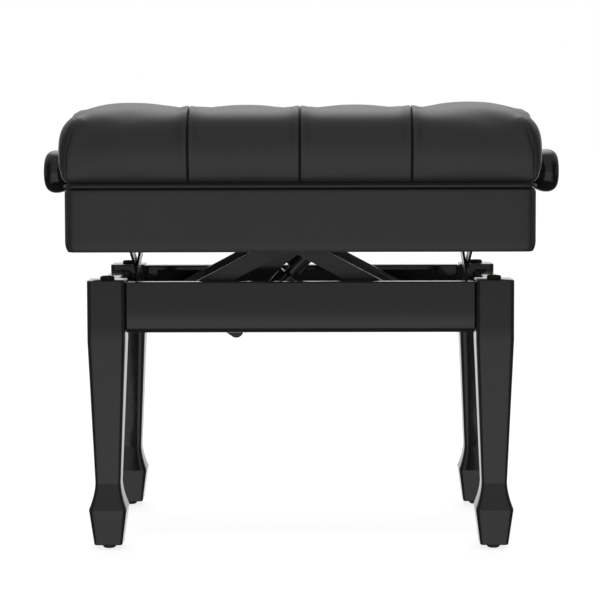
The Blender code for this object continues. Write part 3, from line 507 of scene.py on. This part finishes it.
# ---- Spring strut ----------------------------------------------------------
# A gas-spring tube and its rod, sleeved and painted black, with a flat eye welded to each end.
for node in ("strut_tube", "strut_rod"):
    eased_copy(f"{node}_painted", node, node, spring_paint)

# ---- Side links ------------------------------------------------------------
# Two crossed flat links at each side keep the seat from rocking; round-headed rivets hold them.
LINK_EDGE = 0.0004
for side in ("left", "right"):
    for link in ("rising", "crossed"):
        node = f"{side}_{link}_link"
        eased_copy(f"{side}_{link}_flat_link", node, node, black_steel, LINK_EDGE)

# ---- Seat board and battens ------------------------------------------------
# Birch plywood: the board that the cushion is stapled to, and the two strips that come down
# on the legs' rubber buttons. The faces show grain and the edges show the plies.
PLY = 0.0015
PLY_EDGE = 0.0006
plywood, tree, shader, place = new_finish("birch_plywood", (0.42, 0.30, 0.18), 0.6)
figure = noise(tree, stretched(tree, place, (6.0, 90.0, 400.0)), 1.0, 6.0, 0.6)
height = add_node(tree, "ShaderNodeSeparateXYZ", i0=place).outputs["Z"]
plies = calculate(tree, "PINGPONG", height, PLY)
plies = ramp(tree, plies, PLY * 0.3, PLY * 0.7)
facing = add_node(tree, "ShaderNodeNewGeometry").outputs["Normal"]
upright = add_node(tree, "ShaderNodeSeparateXYZ", i0=facing).outputs["Z"]
flat = ramp(tree, calculate(tree, "ABSOLUTE", upright, 0.0), 0.4, 0.8)
shade = add_node(tree, "ShaderNodeMix", {"data_type": "FLOAT"}, i0=flat, i2=plies, i3=figure).outputs[0]
tint(tree, shader, shade, (0.26, 0.16, 0.085), (0.56, 0.42, 0.27))
relief(tree, shader, figure, 0.0002, 0.4)
for node, name in (
    ("seat_board", "stapling_board"), ("front_batten", "front_rest_strip"), ("rear_batten", "rear_rest_strip"),
):
    bm = block(*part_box(node))
    soften(bm, PLY_EDGE, 2)
    fix(name, bm, "seat", plywood, "plywood", node)

# ---- Covered box -----------------------------------------------------------
# The plywood box under the cushion, wrapped in one band of leatherette that is turned under
# at the bottom. At each side it rises in an arch over the knob's bearing.
BOX_X = 0.2725
BOX_Y = 0.1725
BOX_BOTTOM = 0.3531
BOX_CORNER = 0.0120
HEM_BACK = 0.0032
HEM_EASE = 0.015
HEM_STEPS = 11
HEM_POWER = 3
TOP_EASE = 0.0050
TOP_BACK = 0.0026
TOP_STEPS = 6
TOP_POWER = 2.4
TOP_FLAT = 0.010
SHELF = 0.4266
WALL_TOP = 0.4547
STEP = 0.006
STEP_GAP = 0.0002
SHARP_CORNER = 0.001
WALL = 0.015
WALL_CORNER = 0.0005
LINING = 0.0006
ARCH_HALF = 0.105
ARCH_RISE = 0.053
ARCH_STEPS = 64
FACE_STEPS = 24
LEATHER = (0.0200, 0.0210, 0.0205)

leatherette, tree, shader, place = new_finish("black_leatherette", LEATHER, 0.42)
pebbles = add_node(
    tree, "ShaderNodeTexVoronoi", {"feature": "SMOOTH_F1"},
    Vector=place, Scale=950.0, Smoothness=0.6, Randomness=0.9,
).outputs["Distance"]
creases = noise(tree, place, 420.0, 4.0, 0.65)
cloud = noise(tree, place, 9.0, 3.0)
grain = calculate(tree, "ADD", pebbles, creases)
tint(tree, shader, cloud, (0.0115, 0.0124, 0.0121), (0.0160, 0.0170, 0.0166))
roughen(tree, shader, grain, 0.46, 0.36, 0.4, 1.4)
relief(tree, shader, grain, 0.00014, 0.45)


def arch(y):
    """Height of the arch above the box's straight edge."""
    return ARCH_RISE * (1 + math.cos(math.pi * y / ARCH_HALF)) / 2 if abs(y) < ARCH_HALF else 0.0


def round_the_box(inset, corner):
    """Plan of a band round the box, each point with the same place in every band."""
    half_x, half_y = BOX_X - inset, BOX_Y - inset
    corner = max(corner, 0.0004)
    points = []
    for quarter, (sx, sy) in enumerate(((1, 1), (-1, 1), (-1, -1), (1, -1))):
        for i in range(7):
            angle = math.radians(90 * quarter + 15 * i)
            x = sx * (half_x - corner) + corner * math.cos(angle)
            y = sy * (half_y - corner) + corner * math.sin(angle)
            points.append((x, y))
        steps = FACE_STEPS if quarter % 2 == 0 else ARCH_STEPS
        for i in range(1, steps):
            way = 2 * i / steps - 1
            if quarter % 2 == 0:
                points.append((-sx * (half_x - corner) * way, sy * half_y))
            else:
                points.append((sx * half_x, -sy * (half_y - corner) * way))
    return points


def box_band(inset, level, corner, rise=0.0):
    """One turn round the box: at a level, or a share of the arch's rise above it at the sides."""
    band = []
    for x, y in round_the_box(inset, corner):
        at_side = abs(x) > BOX_X - inset - 0.0001
        band.append((x, y, level + (rise * arch(y) if at_side else 0.0)))
    return band


bands = []
for i in range(HEM_STEPS):
    share = i / (HEM_STEPS - 1)
    bands.append(box_band(HEM_BACK * (1 - share) ** HEM_POWER, BOX_BOTTOM + HEM_EASE * share, BOX_CORNER))
bands.append(box_band(0.0, SHELF - TOP_EASE - TOP_FLAT, BOX_CORNER))
for i in range(TOP_STEPS + 1):
    share = i / TOP_STEPS
    bands.append(box_band(TOP_BACK * share ** TOP_POWER, SHELF - TOP_EASE * (1 - share), BOX_CORNER, 1.0))
bands.append(box_band(STEP, SHELF, SHARP_CORNER, 1.0))
bands.append(box_band(STEP + STEP_GAP, WALL_TOP, SHARP_CORNER))
bands.append(box_band(WALL, WALL_TOP, WALL_CORNER))
bands.append(box_band(WALL, BOX_BOTTOM + LINING, WALL_CORNER))
bands.append(box_band(WALL - LINING, BOX_BOTTOM, 0.0008))
bm, loops = rings_drawn(bands)
bmesh.ops.bridge_loops(bm, edges=loops[0] + loops[-1])
PANELS = ("front_panel", "rear_panel", "left_panel", "right_panel")
fix("covered_box", bm, "seat", leatherette, "leatherette", *PANELS, sharp=50)

# ---- Spindle, nut and bearings ---------------------------------------------
# A steel spindle runs through the box from knob to knob. The thread on its right half moves
# the nut that spreads the arms, and it turns in two flanged steel bushes.
SPINDLE_Z = (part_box("spindle")[0].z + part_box("spindle")[1].z) / 2
SPINDLE_RADIUS = 0.006
THREAD_START = 0.070
THREAD_TURNS = 27
THREAD_STEPS = 20
THREAD_LEAD = 0.005
THREAD_DEPTH = 0.0007
RIDGE_FOOT = 0.0014
RIDGE_CREST = 0.0007
THREAD_RELIEF = 0.004
END_RELIEF = 0.001
NUT_EDGE = 0.0006


def join_in(bm, other):
    """Adds another bmesh's faces to this one."""
    mesh = bpy.data.meshes.new("joined")
    other.to_mesh(mesh)
    other.free()
    bm.from_mesh(mesh)
    bpy.data.meshes.remove(mesh)


spindle_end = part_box("spindle")[1].x
thread_end = THREAD_START + THREAD_LEAD * THREAD_TURNS
bm = rod((-spindle_end, 0, SPINDLE_Z), (spindle_end, 0, SPINDLE_Z), SPINDLE_RADIUS - THREAD_DEPTH)
for start, end in (
    (-spindle_end + END_RELIEF, THREAD_START - THREAD_RELIEF),
    (thread_end + THREAD_RELIEF, spindle_end - END_RELIEF),
):
    join_in(bm, rod((start, 0, SPINDLE_Z), (end, 0, SPINDLE_Z), SPINDLE_RADIUS))
thread = bmesh.new()
ridge = [
    thread.verts.new((THREAD_START + along, 0, SPINDLE_Z + SPINDLE_RADIUS - under))
    for along, under in (
        (-RIDGE_FOOT, 2 * THREAD_DEPTH), (-RIDGE_CREST, 0.0), (RIDGE_CREST, 0.0), (RIDGE_FOOT, 2 * THREAD_DEPTH),
    )
]
face = thread.faces.new(ridge)
bmesh.ops.spin(
    thread, geom=[face, *ridge, *face.edges], cent=(0, 0, SPINDLE_Z), axis=(1, 0, 0),
    dvec=(THREAD_LEAD / THREAD_STEPS, 0, 0), angle=2 * math.pi * THREAD_TURNS, steps=THREAD_STEPS * THREAD_TURNS,
)
bmesh.ops.recalc_face_normals(thread, faces=thread.faces)
join_in(bm, thread)
fix("threaded_spindle", bm, "spindle", bright_steel, "bright_steel", "spindle")
eased_copy("spreading_nut", "drive_nut", "drive_nut", bright_steel, NUT_EDGE, slot="bright_steel")
for side in ("left", "right"):
    eased_copy(f"{side}_flanged_bush", f"{side}_spindle_bearing", "seat", black_steel)

# ---- Knobs -----------------------------------------------------------------
# Turned bun knobs in black gloss, pressed on the spindle's ends.
KNOB_FACE = 0.3180
KNOB_RADIUS = 0.0267
KNOB_LENGTH = 0.034
KNOB_FLAT = 0.013
KNOB_BELLY = 0.014
KNOB_NECK = 0.0125
KNOB_BORE = 0.0062
KNOB_BORE_DEPTH = 0.014
KNOB_DISH = 0.0008
KNOB_FULLNESS = 1.15
FACE_STEPS_ROUND = 14
NECK_STEPS = 12
knob_gloss, tree, shader, place = new_finish("knob_gloss", (0.006, 0.006, 0.0065), 0.045)
polish = noise(tree, place, 220.0, 3.0, 0.6)
roughen(tree, shader, polish, 0.03, 0.075)
tint(tree, shader, polish, (0.005, 0.005, 0.0055), (0.008, 0.008, 0.0085))
relief(tree, shader, noise(tree, place, 90.0, 1.0), 0.00005, 0.2)
knob_profile = [
    (KNOB_DISH, 0.0), (KNOB_DISH * 0.9, KNOB_FLAT * 0.4), (KNOB_DISH * 0.3, KNOB_FLAT * 0.85), (0.0, KNOB_FLAT),
]
for i in range(1, FACE_STEPS_ROUND + 1):
    turn = math.pi / 2 * i / FACE_STEPS_ROUND
    along = KNOB_BELLY * (1 - math.cos(turn)) ** KNOB_FULLNESS
    knob_profile.append((along, KNOB_FLAT + (KNOB_RADIUS - KNOB_FLAT) * math.sin(turn)))
for i in range(1, NECK_STEPS + 1):
    turn = math.pi / 2 * i / NECK_STEPS
    along = KNOB_BELLY + (KNOB_LENGTH - KNOB_BELLY) * math.sin(turn)
    knob_profile.append((along, KNOB_NECK + (KNOB_RADIUS - KNOB_NECK) * math.cos(turn)))
bore_floor = KNOB_LENGTH - KNOB_BORE_DEPTH
knob_profile += [(KNOB_LENGTH, KNOB_BORE), (bore_floor, KNOB_BORE), (bore_floor, 0.0)]
for side, sx in (("left", -1), ("right", 1)):
    bm = turned(knob_profile, (sx * KNOB_FACE, 0, SPINDLE_Z), (-sx, 0, 0), 64)
    fix(f"{side}_bun_knob", bm, "spindle", knob_gloss, "knob_gloss", f"{side}_knob")

# ---- Cushion ---------------------------------------------------------------
# High-density foam under a leatherette cover. Ten covered buttons pull the cover down in
# diamonds, and from the outer ones straight pleats run over the edge to the piping.
CELL_X = 0.1286 / 30
CELL_Y = 0.085 / 15
CELLS_X = 71
CELLS_Y = 36
ROW_Y = 15 * CELL_Y
END_X = 45 * CELL_X
SHOULDER = 0.049
FLAT_X = 0.2345
FLAT_Y = 0.1345
SEAM_Z = 0.4317
WAIST_Z = 0.475
START_TOP = 0.5200
FULLNESS = 0.80
TUCK = 0.0046
TUCK_FROM = 0.88
CREST = 0.5272
BULGE = 0.0105
SEAM_CORNER = 0.009
WAIST_CORNER = 0.019
ROUND_SHARE = 1 - 1 / math.sqrt(2)
BOW = 0.0040
WALL_STEPS = 9
# Bands below the waist: shares of the way to the seam, then 1 plus how far the skirt is turned in.
BANDS = [0.0, *((i + 1) / WALL_STEPS for i in range(WALL_STEPS)), 1.0045, 1.0045, 1.0065, 1.0065]
ARCH_INSIDE = 0.010
ARCH_OUTSIDE = 0.030
ARCH_POWER = 0.8
UNDERSIDE = 0.4675
UNDER_DROP = 0.003
UNDER_STEP = 0.0002
BUTTON_HOLD = 0.0085
ON_LINE = 0.0002
BUTTON_DEPTH = 0.0145
PLEAT_DEPTH = 0.0040
CREST_DEPTH = -0.0030
FACE_DEPTH = -0.0006
VALLEY = 0.0110
VALLEY_POWER = 1.6
CREST_RUN = 0.055
FACE_RUN = (0.050, 0.100)
SIDE_RUN = 0.070
# Buttons and creases are placed in cells of the grid.
BUTTONS = [(x, y) for y in (-15, 15) for x in (-30, 0, 30)] + [(x, 0) for x in (-45, -15, 15, 45)]
DIAGONALS = [((x, y), (x + step, 0)) for y in (-15, 15) for x in (-30, 0, 30) for step in (-15, 15)]


def between(value, low, high):
    share = min(max((value - low) / (high - low), 0.0), 1.0)
    return share * share * (3 - 2 * share)


def to_line(x, y, start, end):
    """Distance from a point to a line on the flat cover, and how far along the nearest point is."""
    start, way = Vector(start), Vector(end) - Vector(start)
    along = min(max((Vector((x, y)) - start).dot(way) / way.length_squared, 0.0), 1.0)
    return (Vector((x, y)) - start - way * along).length, along


def pulled_down(x, y):
    """Depth of the unfilled cover under the buttons and pleats, and the distance to the nearest of them."""
    nearest, depth, share = 1.0, 0.0, 0.0
    for (ax, ay), (bx, by) in DIAGONALS:
        away, along = to_line(x, y, (ax * CELL_X, ay * CELL_Y), (bx * CELL_X, by * CELL_Y))
        line = PLEAT_DEPTH + (BUTTON_DEPTH - PLEAT_DEPTH) * abs(2 * along - 1) ** VALLEY_POWER
        weight = math.exp(-((away / VALLEY) ** 2))
        nearest, depth, share = min(nearest, away), depth + weight * line, share + weight
    for bx in (-30, 0, 30):
        far = max(abs(y) - ROW_Y, 0.0)
        away = math.hypot(x - bx * CELL_X, min(abs(y) - ROW_Y, 0.0))
        line = CREST_DEPTH + (BUTTON_DEPTH - CREST_DEPTH) * (1 - between(far, 0.0, CREST_RUN))
        line = FACE_DEPTH + (line - FACE_DEPTH) * (1 - between(far, *FACE_RUN))
        weight = math.exp(-((away / VALLEY) ** 2))
        nearest, depth, share = min(nearest, away), depth + weight * line, share + weight
    far = max(abs(x) - END_X, 0.0)
    away = math.hypot(y, min(abs(x) - END_X, 0.0))
    line = FACE_DEPTH + (BUTTON_DEPTH - FACE_DEPTH) * (1 - between(far, 0.0, SIDE_RUN))
    weight = math.exp(-((away / VALLEY) ** 2))
    return (depth + weight * line) / max(share + weight, 1.0), min(nearest, away)


def on_cushion(flat_x, flat_y, down):
    """Where a point of the flat cover lies on the unfilled cushion; down counts the bands below the waist."""
    sx, sy = math.copysign(1, flat_x), math.copysign(1, flat_y)
    x, y = abs(flat_x), abs(flat_y)
    over_x = (x - FLAT_X) / (CELLS_X * CELL_X - FLAT_X)
    over_y = (y - FLAT_Y) / (CELLS_Y * CELL_Y - FLAT_Y)
    over = max(over_x, over_y, 0.0)
    drop = min(down, 1.0)
    out = math.sin(math.pi / 2 * over)
    grow = BULGE * (math.sin(math.pi / 2 * (1 - drop)) - 1) if down else 0.0
    grow -= max(down - 1.0, 0.0) + (TUCK * between(drop, TUCK_FROM, 1.0) if down else 0.0)
    full = out if not down else 1 - drop
    corner = SHOULDER * out * (1 - out) + WAIST_CORNER * out
    if down:
        corner = max(SEAM_CORNER + (WAIST_CORNER - SEAM_CORNER) * (1 - drop) - max(down - 1.0, 0.0), 0.001)
    half_x, half_y = FLAT_X + SHOULDER * out + grow, FLAT_Y + SHOULDER * out + grow
    if over > 0.0:
        x = half_x if over_x >= over_y else (x if over_x <= 0 else FLAT_X + (half_x - FLAT_X) * over_x / over)
        y = half_y if over_y >= over_x else (y if over_y <= 0 else FLAT_Y + (half_y - FLAT_Y) * over_y / over)
        ends = BOW * full * between(over, 0.5, 1.0)
        if over_x >= over_y:
            x -= ends * between(y / half_y, 0.55, 1.0)
        if over_y >= over_x:
            y -= ends * between(x / half_x, 0.70, 1.0)
        if over_x > 0 and over_y > 0:
            reach = half_x - FLAT_X
            power = -math.log(2) / math.log(1 - ROUND_SHARE * min(corner / reach, 1.0)) if reach > 0 else 2.0
            a, b = (x - FLAT_X) / reach, (y - FLAT_Y) / reach
            spread = max(a, b) / (a ** power + b ** power) ** (1 / power)
            x, y = FLAT_X + (x - FLAT_X) * spread, FLAT_Y + (y - FLAT_Y) * spread
    if down:
        z = WAIST_Z - (WAIST_Z - SEAM_Z) * drop
    else:
        z = WAIST_Z + (START_TOP - WAIST_Z) * math.cos(math.pi / 2 * over) ** FULLNESS
    side = between(x, FLAT_X - ARCH_INSIDE, FLAT_X + ARCH_OUTSIDE)
    if z < START_TOP:
        z += arch(y) * side * ((START_TOP - z) / (START_TOP - SEAM_Z)) ** ARCH_POWER
    return Vector((sx * x, sy * y, z))


bm = bmesh.new()
flat_layer = bm.verts.layers.float_vector.new("flat")
bmesh.ops.create_grid(bm, x_segments=2 * CELLS_X, y_segments=2 * CELLS_Y, size=1.0)
for vert in bm.verts:
    vert[flat_layer] = (round(vert.co.x * CELLS_X) * CELL_X, round(vert.co.y * CELLS_Y) * CELL_Y, 0.0)
edges = [edge for edge in bm.edges if edge.is_boundary]
for level in range(1, len(BANDS)):
    made = bmesh.ops.extrude_edge_only(bm, edges=edges)["geom"]
    for vert in made:
        if isinstance(vert, bmesh.types.BMVert):
            x, y, above = vert[flat_layer]
            vert[flat_layer] = (x, y, level)
    edges = [
        edge for edge in made
        if isinstance(edge, bmesh.types.BMEdge) and all(vert[flat_layer].z == level for vert in edge.verts)
    ]
bmesh.ops.contextual_create(bm, geom=edges)
held = []
for vert in bm.verts:
    x, y, band = vert[flat_layer]
    band = round(band)
    vert.co = on_cushion(x, y, BANDS[band])
    if band in (WALL_STEPS + 2, WALL_STEPS + 3):
        vert.co.z = max(UNDERSIDE, vert.co.z - UNDER_DROP)
    if band == WALL_STEPS + 4:
        vert.co.z = UNDERSIDE - UNDER_STEP
bmesh.ops.recalc_face_normals(bm, faces=bm.faces)
bm.normal_update()
moves = {}
for vert in bm.verts:
    x, y, band = vert[flat_layer]
    if band <= WALL_STEPS:
        depth, away = pulled_down(x, y)
        fade = 1 - between(band / WALL_STEPS, 0.6, 1.0)
        moves[vert] = -vert.normal * depth * fade
        if away < ON_LINE or band >= WALL_STEPS:
            held.append(vert.index)
    else:
        held.append(vert.index)
for vert, move in moves.items():
    vert.co += move
near_button = []
bm.verts.index_update()
for vert in bm.verts:
    x, y, band = vert[flat_layer]
    if band == 0 and any(math.hypot(x - bx * CELL_X, y - by * CELL_Y) < BUTTON_HOLD for bx, by in BUTTONS):
        near_button.append(vert.index)
bmesh.ops.triangulate(bm, faces=[face for face in bm.faces if len(face.verts) > 4])
FILLED = ("seat_foam", "cushion_cover")
cushion = fix("tufted_cushion", bm, "seat", leatherette, "leatherette", *FILLED, turn_out=False)

FRAMES = 20
PRESSURE = 4.0
STIFFNESS = 15
BENDING = 0.5
MOST_STRETCH = 3.0
SIDE_MOVES = 0.30
SIDE_UP_TO = (0.470, 0.508)
MOST_MOVED = 0.015
start_places = [vert.co.copy() for vert in cushion.data.vertices]
pins = cushion.vertex_groups.new(name="held")
pins.add(held + near_button, 1.0, "REPLACE")
filling = cushion.modifiers.new("filling", "CLOTH")
filling.settings.use_pressure = True
filling.settings.uniform_pressure_force = PRESSURE
filling.settings.vertex_group_mass = "held"
filling.settings.effector_weights.gravity = 0.0
filling.settings.tension_stiffness = STIFFNESS
filling.settings.compression_stiffness = STIFFNESS
filling.settings.bending_stiffness = BENDING
filling.point_cache.frame_start = 1
filling.point_cache.frame_end = FRAMES
for step in range(1, FRAMES + 1):
    bpy.context.scene.frame_set(step)
filled = cushion.evaluated_get(bpy.context.evaluated_depsgraph_get())
moved = [vert.co.copy() for vert in filled.data.vertices]
bpy.context.scene.frame_set(1)
cushion.modifiers.remove(filling)
top = max(place.z for place in moved)
stretch = (CREST - START_TOP) / max(top - START_TOP, 0.001)
for vert, start, place in zip(cushion.data.vertices, start_places, moved):
    shift = (place - start) * min(stretch, MOST_STRETCH)
    shift *= SIDE_MOVES + (1 - SIDE_MOVES) * between(start.z, *SIDE_UP_TO)
    if shift.length > MOST_MOVED:
        shift *= MOST_MOVED / shift.length
    vert.co = start + shift

rounding = cushion.modifiers.new("rounding", "SUBSURF")
rounding.levels = rounding.render_levels = 1
rounded = bpy.data.meshes.new_from_object(cushion.evaluated_get(bpy.context.evaluated_depsgraph_get()))
cushion.modifiers.remove(rounding)

# The pleats are stitched after the filling: narrow folds along the same lines.
FOLD_WIDTH = 0.0013
FOLD_DEPTH = 0.0058
FOLD_NEAR = 0.0050
DART = [
    (0.2560, 0.5040), (0.2600, 0.4950), (0.2640, 0.4840), (0.2668, 0.4720), (0.2685, 0.4580), (0.2690, 0.4400),
]
DART_DEPTH = 0.0018
CREASE_DEPTH = 0.0024
CALM_ABOVE = 0.455
CALM_X = 0.150
CALM_Y = 0.100
CALM_AWAY = 0.007
CALM_TURNS = 60
ABOVE_SEAM = 0.001
FACES_DOWN = -0.95


def fold_at(place):
    """Depth of the fold that a point of the filled cushion is in, and its distance to the nearest line."""
    x, y, z = place
    found = [(1.0, 0.0)]
    if z > 0.49 and abs(x) < 46 * CELL_X and abs(y) < 16 * CELL_Y:
        for (ax, ay), (bx, by) in DIAGONALS:
            away = to_line(x, y, (ax * CELL_X, ay * CELL_Y), (bx * CELL_X, by * CELL_Y))[0]
            found.append((away, CREASE_DEPTH))
    if abs(y) > ROW_Y:
        for bx in (-30, 0, 30):
            found.append((abs(x - bx * CELL_X), FOLD_DEPTH * between(abs(y), ROW_Y, 22 * CELL_Y)))
    if abs(x) > END_X:
        found.append((abs(y), FOLD_DEPTH * between(abs(x), END_X, 50 * CELL_X)))
    if abs(y) > 0.165 and 0.436 < z < 0.512:
        for (ax, az), (bx, bz) in zip(DART, DART[1:]):
            away = to_line(abs(x), z, (ax, az), (bx, bz))[0]
            strength = between(z, 0.436, 0.450) * (1 - between(z, 0.485, 0.508))
            found.append((away, DART_DEPTH * strength))
    depth = max(deep * max(0.0, 1.0 - away / FOLD_WIDTH) for away, deep in found)
    return depth, min(away for away, deep in found)


bm = bmesh.new()
bm.from_mesh(rounded)
bpy.data.meshes.remove(rounded)
loose = [
    vert for vert in bm.verts
    if vert.co.z > CALM_ABOVE and (abs(vert.co.x) > CALM_X or abs(vert.co.y) > CALM_Y)
    and fold_at(vert.co)[1] > CALM_AWAY
]
for turn in range(CALM_TURNS):
    bmesh.ops.smooth_vert(bm, verts=loose, factor=0.5, use_axis_x=True, use_axis_y=True, use_axis_z=True)
outside = [face for face in bm.faces if face.calc_center_median().z > SEAM_Z + ABOVE_SEAM]
near = [
    face for face in outside
    if fold_at(face.calc_center_median())[1] < FOLD_NEAR and face.normal.z > FACES_DOWN
]
edges = list({edge for face in near for edge in face.edges})
bmesh.ops.subdivide_edges(bm, edges=edges, cuts=2, use_grid_fill=True)
bm.normal_update()
moves = {
    vert: vert.normal * fold_at(vert.co)[0]
    for vert in bm.verts if vert.co.z > SEAM_Z + ABOVE_SEAM / 2 and vert.normal.z > FACES_DOWN
}
for vert, move in moves.items():
    vert.co -= move
bm.to_mesh(cushion.data)
bm.free()
cushion.data.shade_smooth()

# ---- Buttons ---------------------------------------------------------------
# Domed buttons covered in the same leatherette, drawn down to the board with twine.
BUTTON_RADIUS = 0.0105
BUTTON_SINK = 0.0012
BUTTON_DOME = [
    (0.0, 0.0), (0.0, 0.0075), (0.0008, 0.0097), (0.0020, BUTTON_RADIUS), (0.0032, 0.0102),
    (0.0046, 0.0084), (0.0056, 0.0056), (0.0060, 0.0028), (0.0061, 0.0),
]
for number, (bx, by) in enumerate(BUTTONS, 1):
    start = (bx * CELL_X, by * CELL_Y, START_TOP - BUTTON_DEPTH - BUTTON_SINK)
    bm = turned(BUTTON_DOME, start, (0, 0, 1), 28)
    fix(f"covered_button_{number}", bm, "seat", leatherette, "leatherette")

# ---- Piping ----------------------------------------------------------------
# A cord in a bias strip of the leatherette, sewn in round the seam between box and cushion
# and over both arches.
PIPING_RADIUS = 0.0018
PIPING_INSET = 0.0004
PIPING_GAP = 0.0009
piping_line = []
for x, y in round_the_box(PIPING_INSET, BOX_CORNER + PIPING_RADIUS):
    slope = 0.0
    if abs(x) > BOX_X - PIPING_INSET - 0.0001 and abs(y) < ARCH_HALF:
        slope = -ARCH_RISE * math.pi / ARCH_HALF * math.sin(math.pi * y / ARCH_HALF) / 2
    off = (PIPING_RADIUS + PIPING_GAP) / math.hypot(1, slope)
    rise = arch(y) if abs(x) > BOX_X - PIPING_INSET - 0.0001 else 0.0
    piping_line.append((x, y - slope * off, SHELF + rise + off))
curve = bpy.data.curves.new("piping_line", "CURVE")
curve.dimensions = "3D"
curve.bevel_depth = PIPING_RADIUS
curve.bevel_resolution = 4
spline = curve.splines.new("POLY")
spline.points.add(len(piping_line) - 1)
for point, spot in zip(spline.points, piping_line):
    point.co = (*spot, 1)
spline.use_cyclic_u = True
line = bpy.data.objects.new("piping_line", curve)
bpy.context.scene.collection.objects.link(line)
bm = bmesh.new()
cord = bpy.data.meshes.new_from_object(line.evaluated_get(bpy.context.evaluated_depsgraph_get()))
bm.from_mesh(cord)
bpy.data.meshes.remove(cord)
bpy.data.objects.remove(line)
fix("sewn_piping", bm, "seat", leatherette, "leatherette", "piping")
